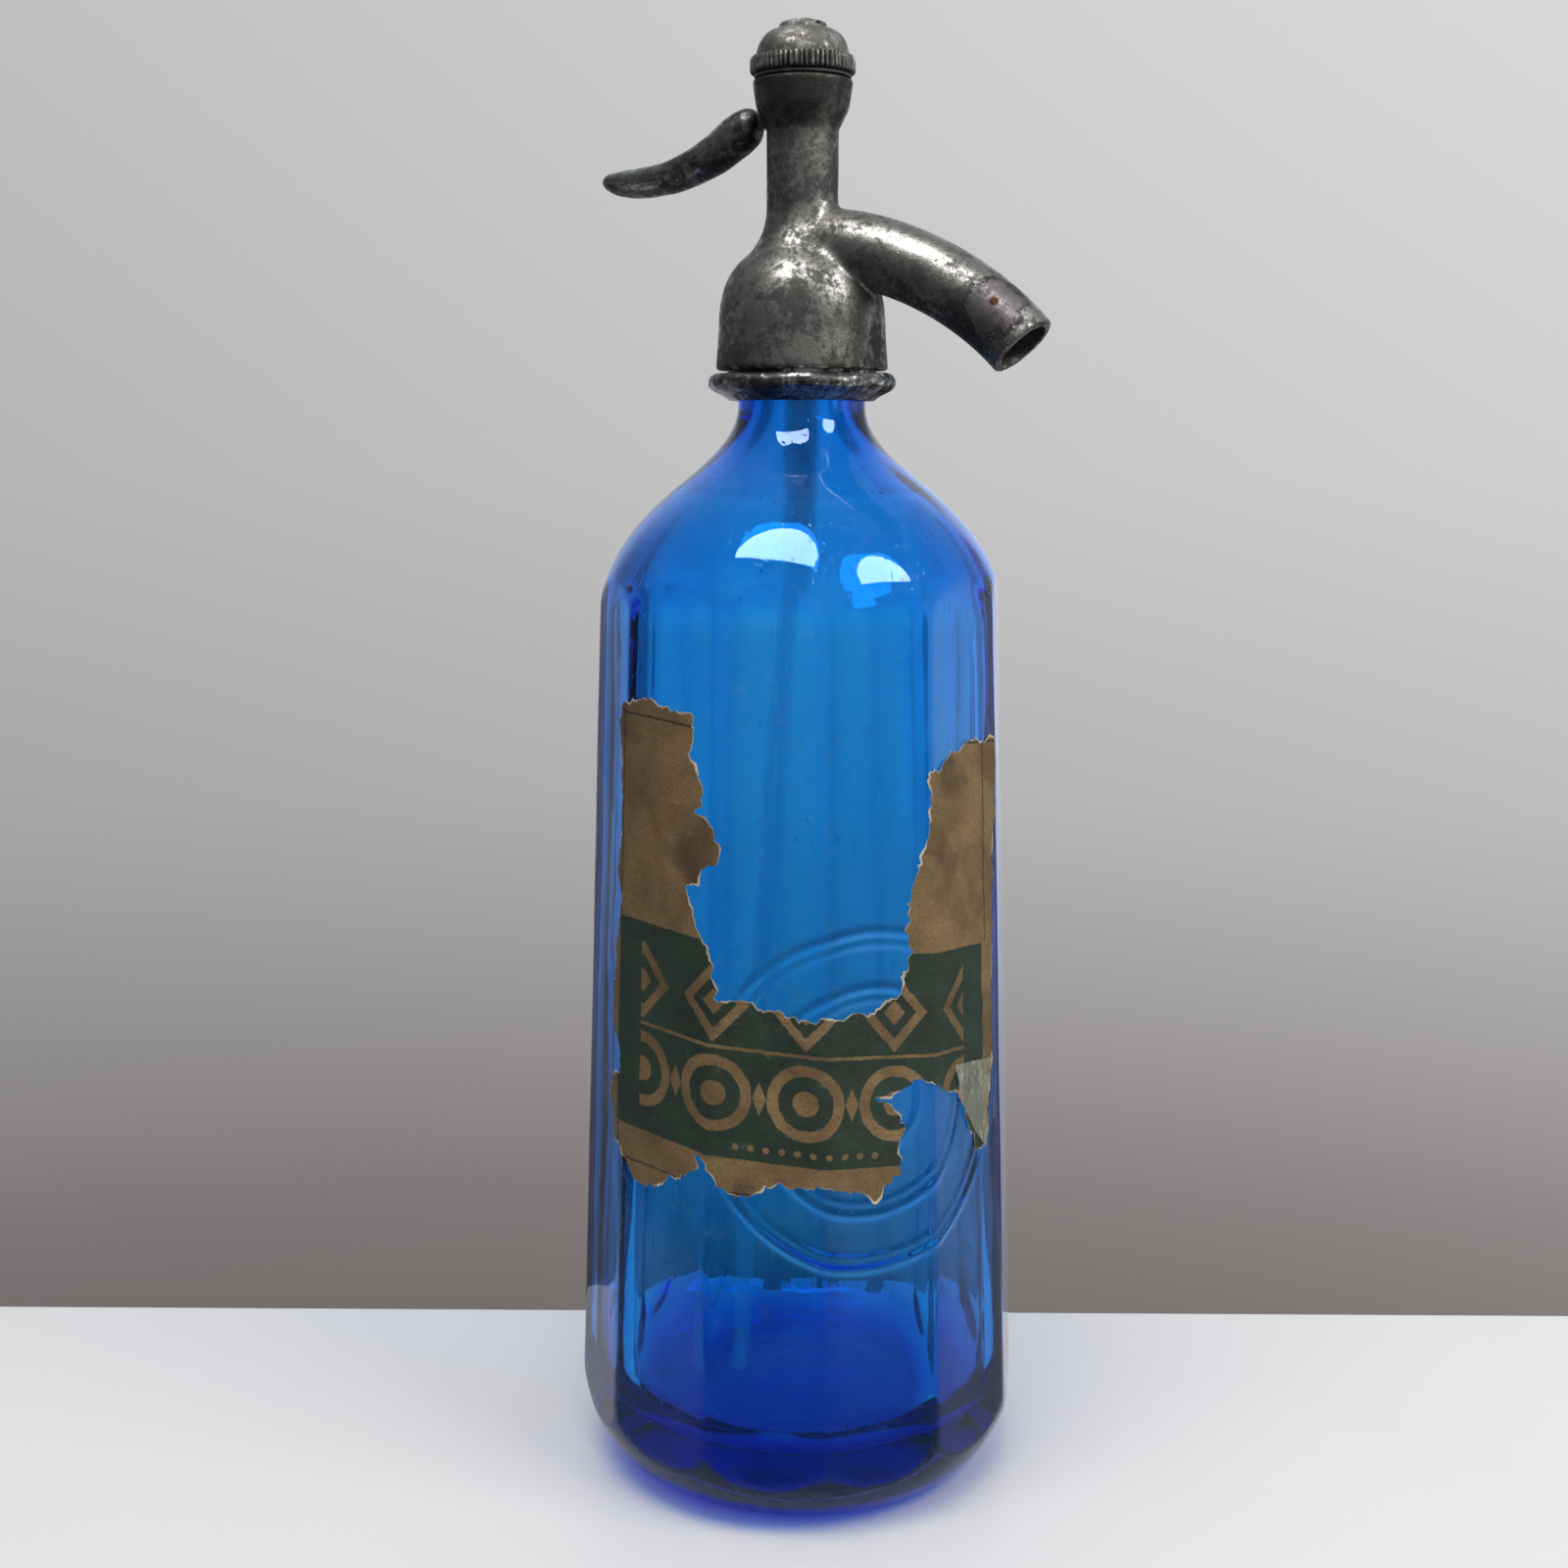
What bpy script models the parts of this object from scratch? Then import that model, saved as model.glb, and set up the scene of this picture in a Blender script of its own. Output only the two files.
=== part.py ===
"""Soda siphon: a twelve-sided blue glass bottle under a cast pewter head.

The head carries a curved spout, a thumb lever and the valve that the lever lifts.
Metres, +Z up. The origin is the centre of the bottle's base, and the spout points
along +X. Each size is named once below, and every piece takes its place from them.
"""
import math

import bmesh
import bpy
from mathutils import Matrix, Vector

# Clearances
GAP = 0.0003                # between pieces that seat on or fit in each other
MERGE = 0.000002            # points this close are one point
OVERRUN = 0.0020            # how far a cutter passes the face that it cuts

# Bottle
BOTTLE_HEIGHT = 0.2480      # base to lip
BODY_FOOT_RADIUS = 0.0489   # over the facet corners, at the top of the heel
BODY_TOP_RADIUS = 0.0431    # over the facet corners, where the shoulder starts
HEEL_HEIGHT = 0.0225
HEEL_WIDTH = 0.0158
SHOULDER_RISE = 0.0480      # height of the curve from the body to the neck
NECK_RADIUS = 0.0134
NECK_BORE_RADIUS = 0.0095
NECK_HEIGHT = 0.0160        # straight neck with the lip on it
LIP_RADIUS = 0.0153
LIP_HEIGHT = 0.0032
LIP_EDGE = 0.0008
BODY_WALL = 0.0045          # glass at the middle of a facet
FLOOR_THICKNESS = 0.0140
INNER_HEEL_RADIUS = 0.0140
ROUND_ALLOWANCE = 0.0004    # how far the round blank stands outside the facets
FACET_COUNT = 12
FACET_TURN = math.radians(4)

# Shoulder curve, as shares of its rise and of its width
SHOULDER_BEND_SHARE = 0.455     # radius share at which the curve turns hollow
SHOULDER_BEND_RISE_SHARE = 0.64
SHOULDER_SLOPE_SHARES = (0.768, 0.640)
SHOULDER_UPPER_HANDLE_SHARE = 0.30
SHOULDER_BEND_OUT_SHARE = 0.25
SHOULDER_BEND_IN_SHARE = 0.15
SHOULDER_NECK_HANDLE_SHARE = 0.15

# Paper label
LABEL_WIDTH = 0.1023
LABEL_HEIGHT = 0.1000
LABEL_BASE = 0.0701         # lowest paper above the base, at the middle
LABEL_THICKNESS = 0.0002
LABEL_TILT = 0.073          # fall for each unit of run to the right
LABEL_TURN = math.radians(-61)
LABEL_EDGE_SHARES = (
    (-0.45, 0.99), (-0.25, 1.00), (-0.25, 0.93), (-0.23, 0.88), (-0.22, 0.83), (-0.24, 0.81),
    (-0.20, 0.79), (-0.18, 0.75), (-0.18, 0.72), (-0.21, 0.70), (-0.26, 0.65), (-0.25, 0.62),
    (-0.22, 0.56), (-0.19, 0.51), (-0.18, 0.43), (-0.11, 0.44), (-0.02, 0.42), (0.14, 0.43),
    (0.20, 0.47), (0.22, 0.53), (0.23, 0.70), (0.27, 0.92), (0.33, 0.95), (0.42, 0.98),
    (0.50, 0.98), (0.48, 0.55), (0.47, 0.30), (0.45, 0.12), (0.42, 0.11), (0.39, 0.17),
    (0.37, 0.22), (0.32, 0.26), (0.25, 0.29), (0.14, 0.26), (0.18, 0.24), (0.21, 0.19),
    (0.19, 0.14), (0.20, 0.10), (0.15, 0.05), (-0.04, 0.07), (-0.10, 0.05), (-0.17, 0.05),
    (-0.18, 0.07), (-0.23, 0.11), (-0.25, 0.05), (-0.34, 0.00), (-0.39, 0.00), (-0.47, 0.10),
    (-0.50, 0.15), (-0.43, 0.23), (-0.48, 0.40), (-0.44, 0.57), (-0.47, 0.95),
)

# Collar, two threaded half rings that grip under the lip
COLLAR_RADIUS = 0.0198
COLLAR_HEIGHT = 0.0055      # the flange that shows
COLLAR_FOOT_RADIUS = 0.0159
COLLAR_SEAM = 0.0004
COLLAR_SEAM_TURN = math.radians(10)
COLLAR_DROP = 0.0007        # the dark gap between the flange and the head
COLLAR_FLANGE_SHARES = ((0.00, 0.00), (0.55, 0.30), (0.85, 0.47), (1.00, 0.70), (0.75, 0.92), (0.45, 1.00))

# Lip gasket
GASKET_THICKNESS = 0.0024

# Head casting
SKIRT_RADIUS = 0.0180
SKIRT_WALL = 0.0021
SKIRT_DEPTH = 0.0118        # from the skirt's edge to its ceiling
SKIRT_HEIGHT = 0.0080       # outside, up to where the bell starts to close
BELL_RADIUS = 0.0174
BELL_RISE = 0.0250
BELL_BEND_RADIUS = 0.0122   # where the bell turns hollow
BELL_BEND_RISE = 0.0146
COLUMN_RADIUS = 0.0074
COLUMN_HEIGHT = 0.0152
CUP_FLARE_RADIUS = 0.0097
CUP_FLARE_HEIGHT = 0.0054
CUP_FLARE_HANDLE_SHARE = 0.25
CUP_RADIUS = 0.0103
CUP_HEIGHT = 0.0098
CUP_BORE_RADIUS = 0.0076
CUP_DEPTH = 0.0060
GLAND_BORE_RADIUS = 0.0052
GLAND_SHELF = 0.0020
CHAMBER_RADIUS = 0.0044
CHAMBER_HEIGHT = 0.0140
WEB_THICKNESS = 0.0050      # between the skirt's ceiling and the valve chamber
SEAT_BORE_RADIUS = 0.0056
SEAT_BORE_STEP = 0.0003     # web left above the seat's thread
BELL_HANDLE_SHARES = (0.32, 0.16, 0.13, 0.20)
BELL_SLOPE_SHARES = (0.78, 0.62)

# Spout
SPOUT_REACH = 0.0492        # bottle axis to the middle of the mouth
SPOUT_START = 0.0060        # where its curve starts from the bottle axis
SPOUT_LEVEL = 0.0084        # of its start, above the chamber's floor
SPOUT_DROP = 0.0212
SPOUT_ROOT_RADIUS = 0.0075
SPOUT_MOUTH_RADIUS = 0.00715
SPOUT_MOUTH_BORE_RADIUS = 0.0055
SPIGOT_RADIUS = 0.0045
SPIGOT_BORE_RADIUS = 0.0030
SPIGOT_LENGTH = 0.0110
SPOUT_START_SLOPE = math.radians(6.5)
SPOUT_END_SLOPE = math.radians(47)
SPOUT_START_HANDLE_SHARE = 0.42
SPOUT_END_HANDLE_SHARE = 0.32

# Lever
PIVOT_RADIUS = 0.0060       # pivot to the bottle axis
PIVOT_DROP = 0.0016         # pivot below the cup's floor
LEVER_REACH = 0.0424        # pivot to the tip
LEVER_DROP = 0.0106
LEVER_THICKNESS = 0.0088
LEVER_WIDTH = 0.0096
TONGUE_THICKNESS = 0.0024
TONGUE_BOSS_RADIUS = 0.0017
NOSE_RADIUS = 0.0018
NOSE_DROP = 0.0020
SHANK_LENGTH = 0.0065
SHANK_HEIGHT = 0.0028
PIN_RADIUS = 0.0007
PIN_LENGTH = 0.0052
PIN_CLEARANCE = 0.00015
LEVER_TRAVEL = math.radians(18)
SLOT_HEIGHT_ABOVE = 0.0022  # slot in the wall, over the pivot
BOSS_ANGLES = (115, -25)    # degrees, from the shank over the boss to the nose
NOSE_ANGLES = (115, -115)
UNDER_BOSS_ANGLES = (-60, -120)
# Each station: reach, drop, thickness and width as shares
LEVER_STATION_SHARES = (
    (0.091, 0.03, 0.25, 0.30), (0.111, 0.02, 0.60, 0.62), (0.154, 0.05, 0.93, 0.86),
    (0.236, 0.27, 1.00, 0.96), (0.354, 0.57, 0.90, 1.00), (0.485, 0.80, 0.81, 1.00),
    (0.630, 0.95, 0.77, 0.98), (0.782, 1.00, 0.73, 0.94), (0.889, 0.98, 0.62, 0.80),
    (0.966, 0.93, 0.40, 0.52), (1.000, 0.91, 0.12, 0.16),
)

# Plunger and gland
ROD_RADIUS = 0.0016
BLOCK_RADIUS = 0.0039
BLOCK_EDGE = 0.0006
BLOCK_FLOOR = 0.0021        # metal under the lever's window
BLOCK_CEILING = 0.0027      # metal over the lever's window
SPRING_SEAT_THICKNESS = 0.0009
SPRING_SPIGOT_RADIUS = 0.0024
SPRING_SPIGOT_HEIGHT = 0.0009
PACKING_HEIGHT = 0.0026
GLAND_NUT_HEIGHT = 0.0040
GLAND_SLOT_WIDTH = 0.0010
GLAND_SLOT_DEPTH = 0.0010

# Valve
DISC_RADIUS = 0.0035
DISC_THICKNESS = 0.0016
WASHER_RADIUS = 0.0034
WASHER_THICKNESS = 0.0020
SCREW_SHANK_RADIUS = 0.0007
SCREW_HEAD_RADIUS = 0.0015
SCREW_HEAD_HEIGHT = 0.0011
SCREW_GRIP = 0.0032         # length of the screw inside the rod

# Valve seat and what hangs from it
SEAT_ORIFICE_RADIUS = 0.0021
SEAT_LIP_RADIUS = 0.0030
SEAT_LIP_HEIGHT = 0.0014
SEAT_FLANGE_RADIUS = 0.0069
SEAT_FLANGE_HEIGHT = 0.0021
SEAT_SPIGOT_RADIUS = 0.0046
SEAT_SPIGOT_HEIGHT = 0.0081
SOCKET_DEPTH = 0.0085
GROMMET_HEIGHT = 0.0022
TUBE_NUT_WALL = 0.0017
TUBE_NUT_FLOOR = 0.0015
TUBE_NUT_GRIP = 0.0033      # length of the nut that overlaps the seat's spigot
HEX_SIDES = 6

# Dip tube
TUBE_RADIUS = 0.0030
TUBE_BORE_RADIUS = 0.0020
TUBE_FOOT_CLEARANCE = 0.0035
TUBE_BEND_START = 0.0090    # straight tube below the nut
TUBE_BEND_LENGTH = 0.0260
TUBE_LEAN = math.radians(4.6)
TUBE_LEAN_TURN = math.radians(208)
SLEEVE_LENGTH = 0.0360
SLEEVE_RADIUS = 0.0039

# Cap
CAP_WASHER_THICKNESS = 0.0005
CAP_WASHER_MARGIN = 0.0004
KNURL_RADIUS = 0.0109
KNURL_ROOT_RADIUS = 0.0104
KNURL_HEIGHT = 0.0030
KNURL_COUNT = 48
DOME_RADIUS = 0.0095
DOME_HEIGHT = 0.0057
DOME_CROWN = 0.0006         # thickness of the dome's rim above the knurl
STUB_RADIUS = 0.0049
STUB_HEIGHT = 0.0015
STUB_EDGE = 0.0006
CAP_SLOT_WIDTH = 0.0011
CAP_SLOT_DEPTH = 0.0009
CAP_SKIRT_HEIGHT = 0.0057
CAP_POCKET_RADIUS = 0.0046
CAP_POCKET_HEIGHT = 0.0120

# Valve spring
SPRING_RADIUS = 0.0032      # to the middle of the wire
SPRING_WIRE_RADIUS = 0.0004
SPRING_TURNS = 6.5
SPRING_POINTS_PER_TURN = 10
SPRING_END_TURNS = 1        # turns at each end that lie closed

# Mesh fineness
BOTTLE_SEGMENTS = 48
HEAD_SEGMENTS = 36
SMALL_SEGMENTS = 20
LEVER_SEGMENTS = 16
SPOUT_SEGMENTS = 20
SPOUT_RINGS = 12
CURVE_STEPS = 6
ARC_STEPS = 5
TUBE_SEGMENTS = 12
HALF_STEP_SHARE = 0.5       # turns a swept ring, so that its corners miss the head's corners
SHARP_ANGLE = math.radians(35)

# Heights worked out from the sizes above
BODY_CEILING = BOTTLE_HEIGHT - NECK_HEIGHT - SHOULDER_RISE
NECK_FOOT = BOTTLE_HEIGHT - NECK_HEIGHT
SKIRT_CEILING = BOTTLE_HEIGHT + GASKET_THICKNESS + GAP + GAP
HEAD_FOOT = SKIRT_CEILING - SKIRT_DEPTH
COLUMN_FOOT = HEAD_FOOT + SKIRT_HEIGHT + BELL_RISE
COLUMN_TOP = COLUMN_FOOT + COLUMN_HEIGHT
CUP_TOP = COLUMN_TOP + CUP_HEIGHT
CUP_FLOOR = CUP_TOP - CUP_DEPTH
CHAMBER_FLOOR = SKIRT_CEILING + WEB_THICKNESS
CHAMBER_CEILING = CHAMBER_FLOOR + CHAMBER_HEIGHT
GLAND_FLOOR = CHAMBER_CEILING + GLAND_SHELF
SPOUT_AXIS_HEIGHT = CHAMBER_FLOOR + SPOUT_LEVEL
PIVOT_HEIGHT = CUP_FLOOR - PIVOT_DROP
NOSE_HEIGHT = PIVOT_HEIGHT - NOSE_DROP
SLOT_FOOT = PIVOT_HEIGHT - SHANK_LENGTH * math.sin(LEVER_TRAVEL) - SHANK_HEIGHT / 2 - PIN_CLEARANCE
WINDOW_FLOOR = NOSE_HEIGHT - NOSE_RADIUS - GAP
WINDOW_CEILING = NOSE_HEIGHT + NOSE_RADIUS + GAP
BLOCK_FOOT = WINDOW_FLOOR - BLOCK_FLOOR
BLOCK_TOP = WINDOW_CEILING + BLOCK_CEILING
SEAT_TOP = CHAMBER_FLOOR + SEAT_LIP_HEIGHT - SEAT_BORE_STEP - GAP
CAP_FOOT = CUP_TOP + CAP_WASHER_THICKNESS + GAP + GAP
SEAT_FLANGE_TOP = SKIRT_CEILING - GAP
SEAT_FLANGE_FOOT = SEAT_FLANGE_TOP - SEAT_FLANGE_HEIGHT
SEAT_FOOT = SEAT_FLANGE_FOOT - SEAT_SPIGOT_HEIGHT
SKIRT_BORE_RADIUS = SKIRT_RADIUS - SKIRT_WALL
FACET_HALF_ANGLE = math.pi / FACET_COUNT
TUBE_CLEAR_RADIUS = TUBE_RADIUS + GAP
TUBE_TOP = SEAT_FOOT + SOCKET_DEPTH - GAP
TUBE_NUT_FOOT = SEAT_FOOT - GROMMET_HEIGHT - GAP - GAP - TUBE_NUT_FLOOR


# Helpers

def clear_scene():
    for item in list(bpy.data.objects):
        bpy.data.objects.remove(item, do_unlink=True)


def make_material(name, colour, roughness, metallic, transmission=0.0):
    finish = bpy.data.materials.new(name)
    finish.use_nodes = True
    shader = finish.node_tree.nodes["Principled BSDF"]
    shader.inputs["Base Color"].default_value = (*colour, 1.0)
    shader.inputs["Roughness"].default_value = roughness
    shader.inputs["Metallic"].default_value = metallic
    shader.inputs["Transmission Weight"].default_value = transmission
    return finish


def add_object(name, mesh_in_work, finish, place=(0.0, 0.0, 0.0), parent=None):
    """Turn a bmesh into a smooth-shaded object at its place."""
    data = bpy.data.meshes.new(name)
    mesh_in_work.to_mesh(data)
    mesh_in_work.free()
    data.shade_smooth()
    data.set_sharp_from_angle(angle=SHARP_ANGLE)
    data.materials.append(finish)
    item = bpy.data.objects.new(name, data)
    bpy.context.collection.objects.link(item)
    item.parent = parent
    item.location = place
    return item


def add_boolean(item, cutter_mesh, operation, place=(0.0, 0.0, 0.0)):
    """Cut, join or keep what is common with a hidden second shape."""
    name = item.name + "_" + operation.lower() + "_guide"
    data = bpy.data.meshes.new(name)
    cutter_mesh.to_mesh(data)
    cutter_mesh.free()
    cutter = bpy.data.objects.new(name, data)
    bpy.context.collection.objects.link(cutter)
    cutter.location = place
    cutter.parent = item.parent
    cutter.hide_render = True
    cutter.display_type = "WIRE"
    step = item.modifiers.new(operation.lower(), "BOOLEAN")
    step.operation = operation
    step.solver = "EXACT"
    step.object = cutter


def bezier(start, start_handle, end_handle, end, steps):
    """Points along a cubic curve, both ends included."""
    points = []
    for step in range(steps + 1):
        t = step / steps
        s = 1 - t
        weights = (s * s * s, 3 * s * s * t, 3 * s * t * t, t * t * t)
        corners = (start, start_handle, end_handle, end)
        points.append(tuple(sum(w * c[axis] for w, c in zip(weights, corners)) for axis in (0, 1)))
    return points


def arc(centre, radii, first_angle, last_angle, steps):
    """Points on an ellipse, both ends included, angles in degrees."""
    points = []
    for step in range(steps + 1):
        angle = math.radians(first_angle + (last_angle - first_angle) * step / steps)
        points.append((centre[0] + radii[0] * math.cos(angle), centre[1] + radii[1] * math.sin(angle)))
    return points


def offset_outline(points, distances):
    """Move each point of an outline to the left of its run by its distance."""
    moved = []
    for index, (radius, height) in enumerate(points):
        before = points[max(index - 1, 0)]
        after = points[min(index + 1, len(points) - 1)]
        along = Vector((after[0] - before[0], after[1] - before[1])).normalized()
        moved.append((radius - along.y * distances[index], height + along.x * distances[index]))
    return moved


def turned(outline, segments):
    """Revolve an outline of radius and height about Z into a closed shape."""
    work = bmesh.new()
    points = [work.verts.new((radius, 0.0, height)) for radius, height in outline]
    edges = [work.edges.new(pair) for pair in zip(points, points[1:])]
    if outline[0][0] > 0:
        edges.append(work.edges.new((points[-1], points[0])))
    bmesh.ops.spin(work, geom=points + edges, cent=(0, 0, 0), axis=(0, 0, 1),
                   angle=math.tau, steps=segments, use_merge=True)
    bmesh.ops.remove_doubles(work, verts=work.verts[:], dist=MERGE)
    bmesh.ops.recalc_face_normals(work, faces=work.faces[:])
    return work


def turned_part(outline, segments, start_angle, sweep):
    """Revolve a closed outline through part of a turn, with flat ends."""
    work = bmesh.new()
    points = [work.verts.new((radius, 0.0, height)) for radius, height in outline]
    face = work.faces.new(points)
    bmesh.ops.rotate(work, verts=work.verts[:], matrix=Matrix.Rotation(start_angle, 3, "Z"))
    bmesh.ops.spin(work, geom=[face] + face.edges[:] + face.verts[:], cent=(0, 0, 0), axis=(0, 0, 1),
                   angle=sweep, steps=segments)
    bmesh.ops.remove_doubles(work, verts=work.verts[:], dist=MERGE)
    bmesh.ops.recalc_face_normals(work, faces=work.faces[:])
    return work


def box(low, high):
    work = bmesh.new()
    bmesh.ops.create_cube(work, size=1)
    size = Vector(high) - Vector(low)
    bmesh.ops.scale(work, vec=size, verts=work.verts[:])
    bmesh.ops.translate(work, vec=Vector(low) + size / 2, verts=work.verts[:])
    return work


def prism(outline, thickness):
    """Extrude an outline of X and Z through a thickness centred on Y = 0."""
    work = bmesh.new()
    face = work.faces.new([work.verts.new((x, -thickness / 2, z)) for x, z in outline])
    grown = bmesh.ops.extrude_face_region(work, geom=[face])["geom"]
    moved = [item for item in grown if isinstance(item, bmesh.types.BMVert)]
    bmesh.ops.translate(work, vec=(0, thickness, 0), verts=moved)
    bmesh.ops.recalc_face_normals(work, faces=work.faces[:])
    return work


def swept(stations, segments):
    """Bridge oval rings along a route. Each station: centre, along, across radius, upright radius."""
    work = bmesh.new()
    rings = []
    for centre, along, across, upright in stations:
        side = Vector((-along.y, along.x, 0.0))
        side = side.normalized() if side.length > MERGE else Vector((0.0, 1.0, 0.0))
        up = side.cross(along).normalized()
        ring = []
        for step in range(segments):
            angle = math.tau * (step + HALF_STEP_SHARE) / segments
            spoke = side * across * math.cos(angle) + up * upright * math.sin(angle)
            ring.append(work.verts.new(centre + spoke))
        rings.append(ring)
    for first, second in zip(rings, rings[1:]):
        for step in range(segments):
            after = (step + 1) % segments
            work.faces.new((first[step], first[after], second[after], second[step]))
    work.faces.new(rings[0])
    work.faces.new(rings[-1])
    bmesh.ops.recalc_face_normals(work, faces=work.faces[:])
    return work


def rod_between(start, end, radius, segments):
    """A plain round bar from one point to another."""
    start = Vector(start)
    end = Vector(end)
    along = (end - start).normalized()
    return swept([(start, along, radius, radius), (end, along, radius, radius)], segments)


# Finishes, with colours in linear values

def make_finishes():
    return {
        "blue_glass": make_material("blue_glass", (0.012, 0.16, 0.62), 0.04, 0.0, 0.85),
        "kraft_paper": make_material("kraft_paper", (0.27, 0.17, 0.09), 0.8, 0.0),
        "pewter": make_material("pewter", (0.14, 0.135, 0.13), 0.38, 1.0),
        "collar_metal": make_material("collar_metal", (0.22, 0.22, 0.22), 0.28, 1.0),
        "steel": make_material("steel", (0.42, 0.42, 0.41), 0.3, 1.0),
        "brass": make_material("brass", (0.55, 0.38, 0.16), 0.35, 1.0),
        "black_rubber": make_material("black_rubber", (0.02, 0.02, 0.02), 0.7, 0.0),
        "clear_tube": make_material("clear_tube", (0.55, 0.68, 0.66), 0.2, 0.0, 0.6),
        "grey_sleeve": make_material("grey_sleeve", (0.08, 0.13, 0.16), 0.55, 0.0),
    }


# Bottle

def corner_radius(height):
    """Radius over the facet corners at a height on the body."""
    share = (height - HEEL_HEIGHT) / (BODY_CEILING - HEEL_HEIGHT)
    return BODY_FOOT_RADIUS + (BODY_TOP_RADIUS - BODY_FOOT_RADIUS) * share


def shoulder_outline():
    """The outside of the shoulder, from the body to the neck."""
    start = (BODY_TOP_RADIUS + ROUND_ALLOWANCE, BODY_CEILING)
    width = start[0] - NECK_RADIUS
    bend = (NECK_RADIUS + width * SHOULDER_BEND_SHARE,
            BODY_CEILING + SHOULDER_RISE * SHOULDER_BEND_RISE_SHARE)
    slope = SHOULDER_SLOPE_SHARES
    out = SHOULDER_RISE * SHOULDER_BEND_OUT_SHARE
    back = SHOULDER_RISE * SHOULDER_BEND_IN_SHARE
    upper = bezier(start, (start[0], start[1] + SHOULDER_RISE * SHOULDER_UPPER_HANDLE_SHARE),
                   (bend[0] + slope[0] * out, bend[1] - slope[1] * out), bend, CURVE_STEPS)
    lower = bezier(bend, (bend[0] - slope[0] * back, bend[1] + slope[1] * back),
                   (NECK_RADIUS, NECK_FOOT - SHOULDER_RISE * SHOULDER_NECK_HANDLE_SHARE),
                   (NECK_RADIUS, NECK_FOOT), CURVE_STEPS)
    return upper + lower[1:]


def bottle_outline():
    """Outside from the base's centre to the lip, then inside down to the floor's centre."""
    heel_top_radius = BODY_FOOT_RADIUS + ROUND_ALLOWANCE
    heel = arc((heel_top_radius - HEEL_WIDTH, HEEL_HEIGHT), (HEEL_WIDTH, HEEL_HEIGHT), -90, 0, ARC_STEPS + 1)
    shoulder = shoulder_outline()
    lip = [(NECK_RADIUS, BOTTLE_HEIGHT - LIP_HEIGHT), (LIP_RADIUS, BOTTLE_HEIGHT - LIP_HEIGHT),
           (LIP_RADIUS, BOTTLE_HEIGHT - LIP_EDGE), (LIP_RADIUS - LIP_EDGE, BOTTLE_HEIGHT),
           (NECK_BORE_RADIUS, BOTTLE_HEIGHT)]
    flat_share = math.cos(FACET_HALF_ANGLE)
    inner_top = BODY_TOP_RADIUS * flat_share - BODY_WALL
    inner_foot = BODY_FOOT_RADIUS * flat_share - BODY_WALL
    wall_at_body = shoulder[0][0] - inner_top
    wall_at_neck = NECK_RADIUS - NECK_BORE_RADIUS
    last = len(shoulder) - 1
    walls = [wall_at_body + (wall_at_neck - wall_at_body) * step / last for step in range(last + 1)]
    inside = offset_outline(shoulder, walls)
    inner_heel = arc((inner_foot - INNER_HEEL_RADIUS, FLOOR_THICKNESS + INNER_HEEL_RADIUS),
                     (INNER_HEEL_RADIUS, INNER_HEEL_RADIUS), 0, -90, ARC_STEPS)
    return [(0.0, 0.0)] + heel + shoulder + lip + inside[::-1] + inner_heel + [(0.0, FLOOR_THICKNESS)]


def make_bottle(finishes):
    bottle = add_object("bottle", turned(bottle_outline(), BOTTLE_SEGMENTS), finishes["blue_glass"])
    facets = bmesh.new()
    foot = -OVERRUN
    top = BOTTLE_HEIGHT + OVERRUN
    bmesh.ops.create_cone(facets, cap_ends=True, segments=FACET_COUNT, radius1=corner_radius(foot),
                          radius2=corner_radius(top), depth=top - foot)
    bmesh.ops.rotate(facets, verts=facets.verts[:], matrix=Matrix.Rotation(FACET_TURN, 3, "Z"))
    bmesh.ops.translate(facets, vec=(0, 0, (top + foot) / 2), verts=facets.verts[:])
    add_boolean(bottle, facets, "INTERSECT")


# Label

def on_facets(angle, height, lift):
    """A point at a lift above the flat facet that faces this angle."""
    step = 2 * FACET_HALF_ANGLE
    from_middle = (angle - FACET_TURN) % step - FACET_HALF_ANGLE
    flat_radius = corner_radius(height) * math.cos(FACET_HALF_ANGLE) + lift
    radius = flat_radius / math.cos(from_middle)
    return (radius * math.cos(angle), radius * math.sin(angle), height)


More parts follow.
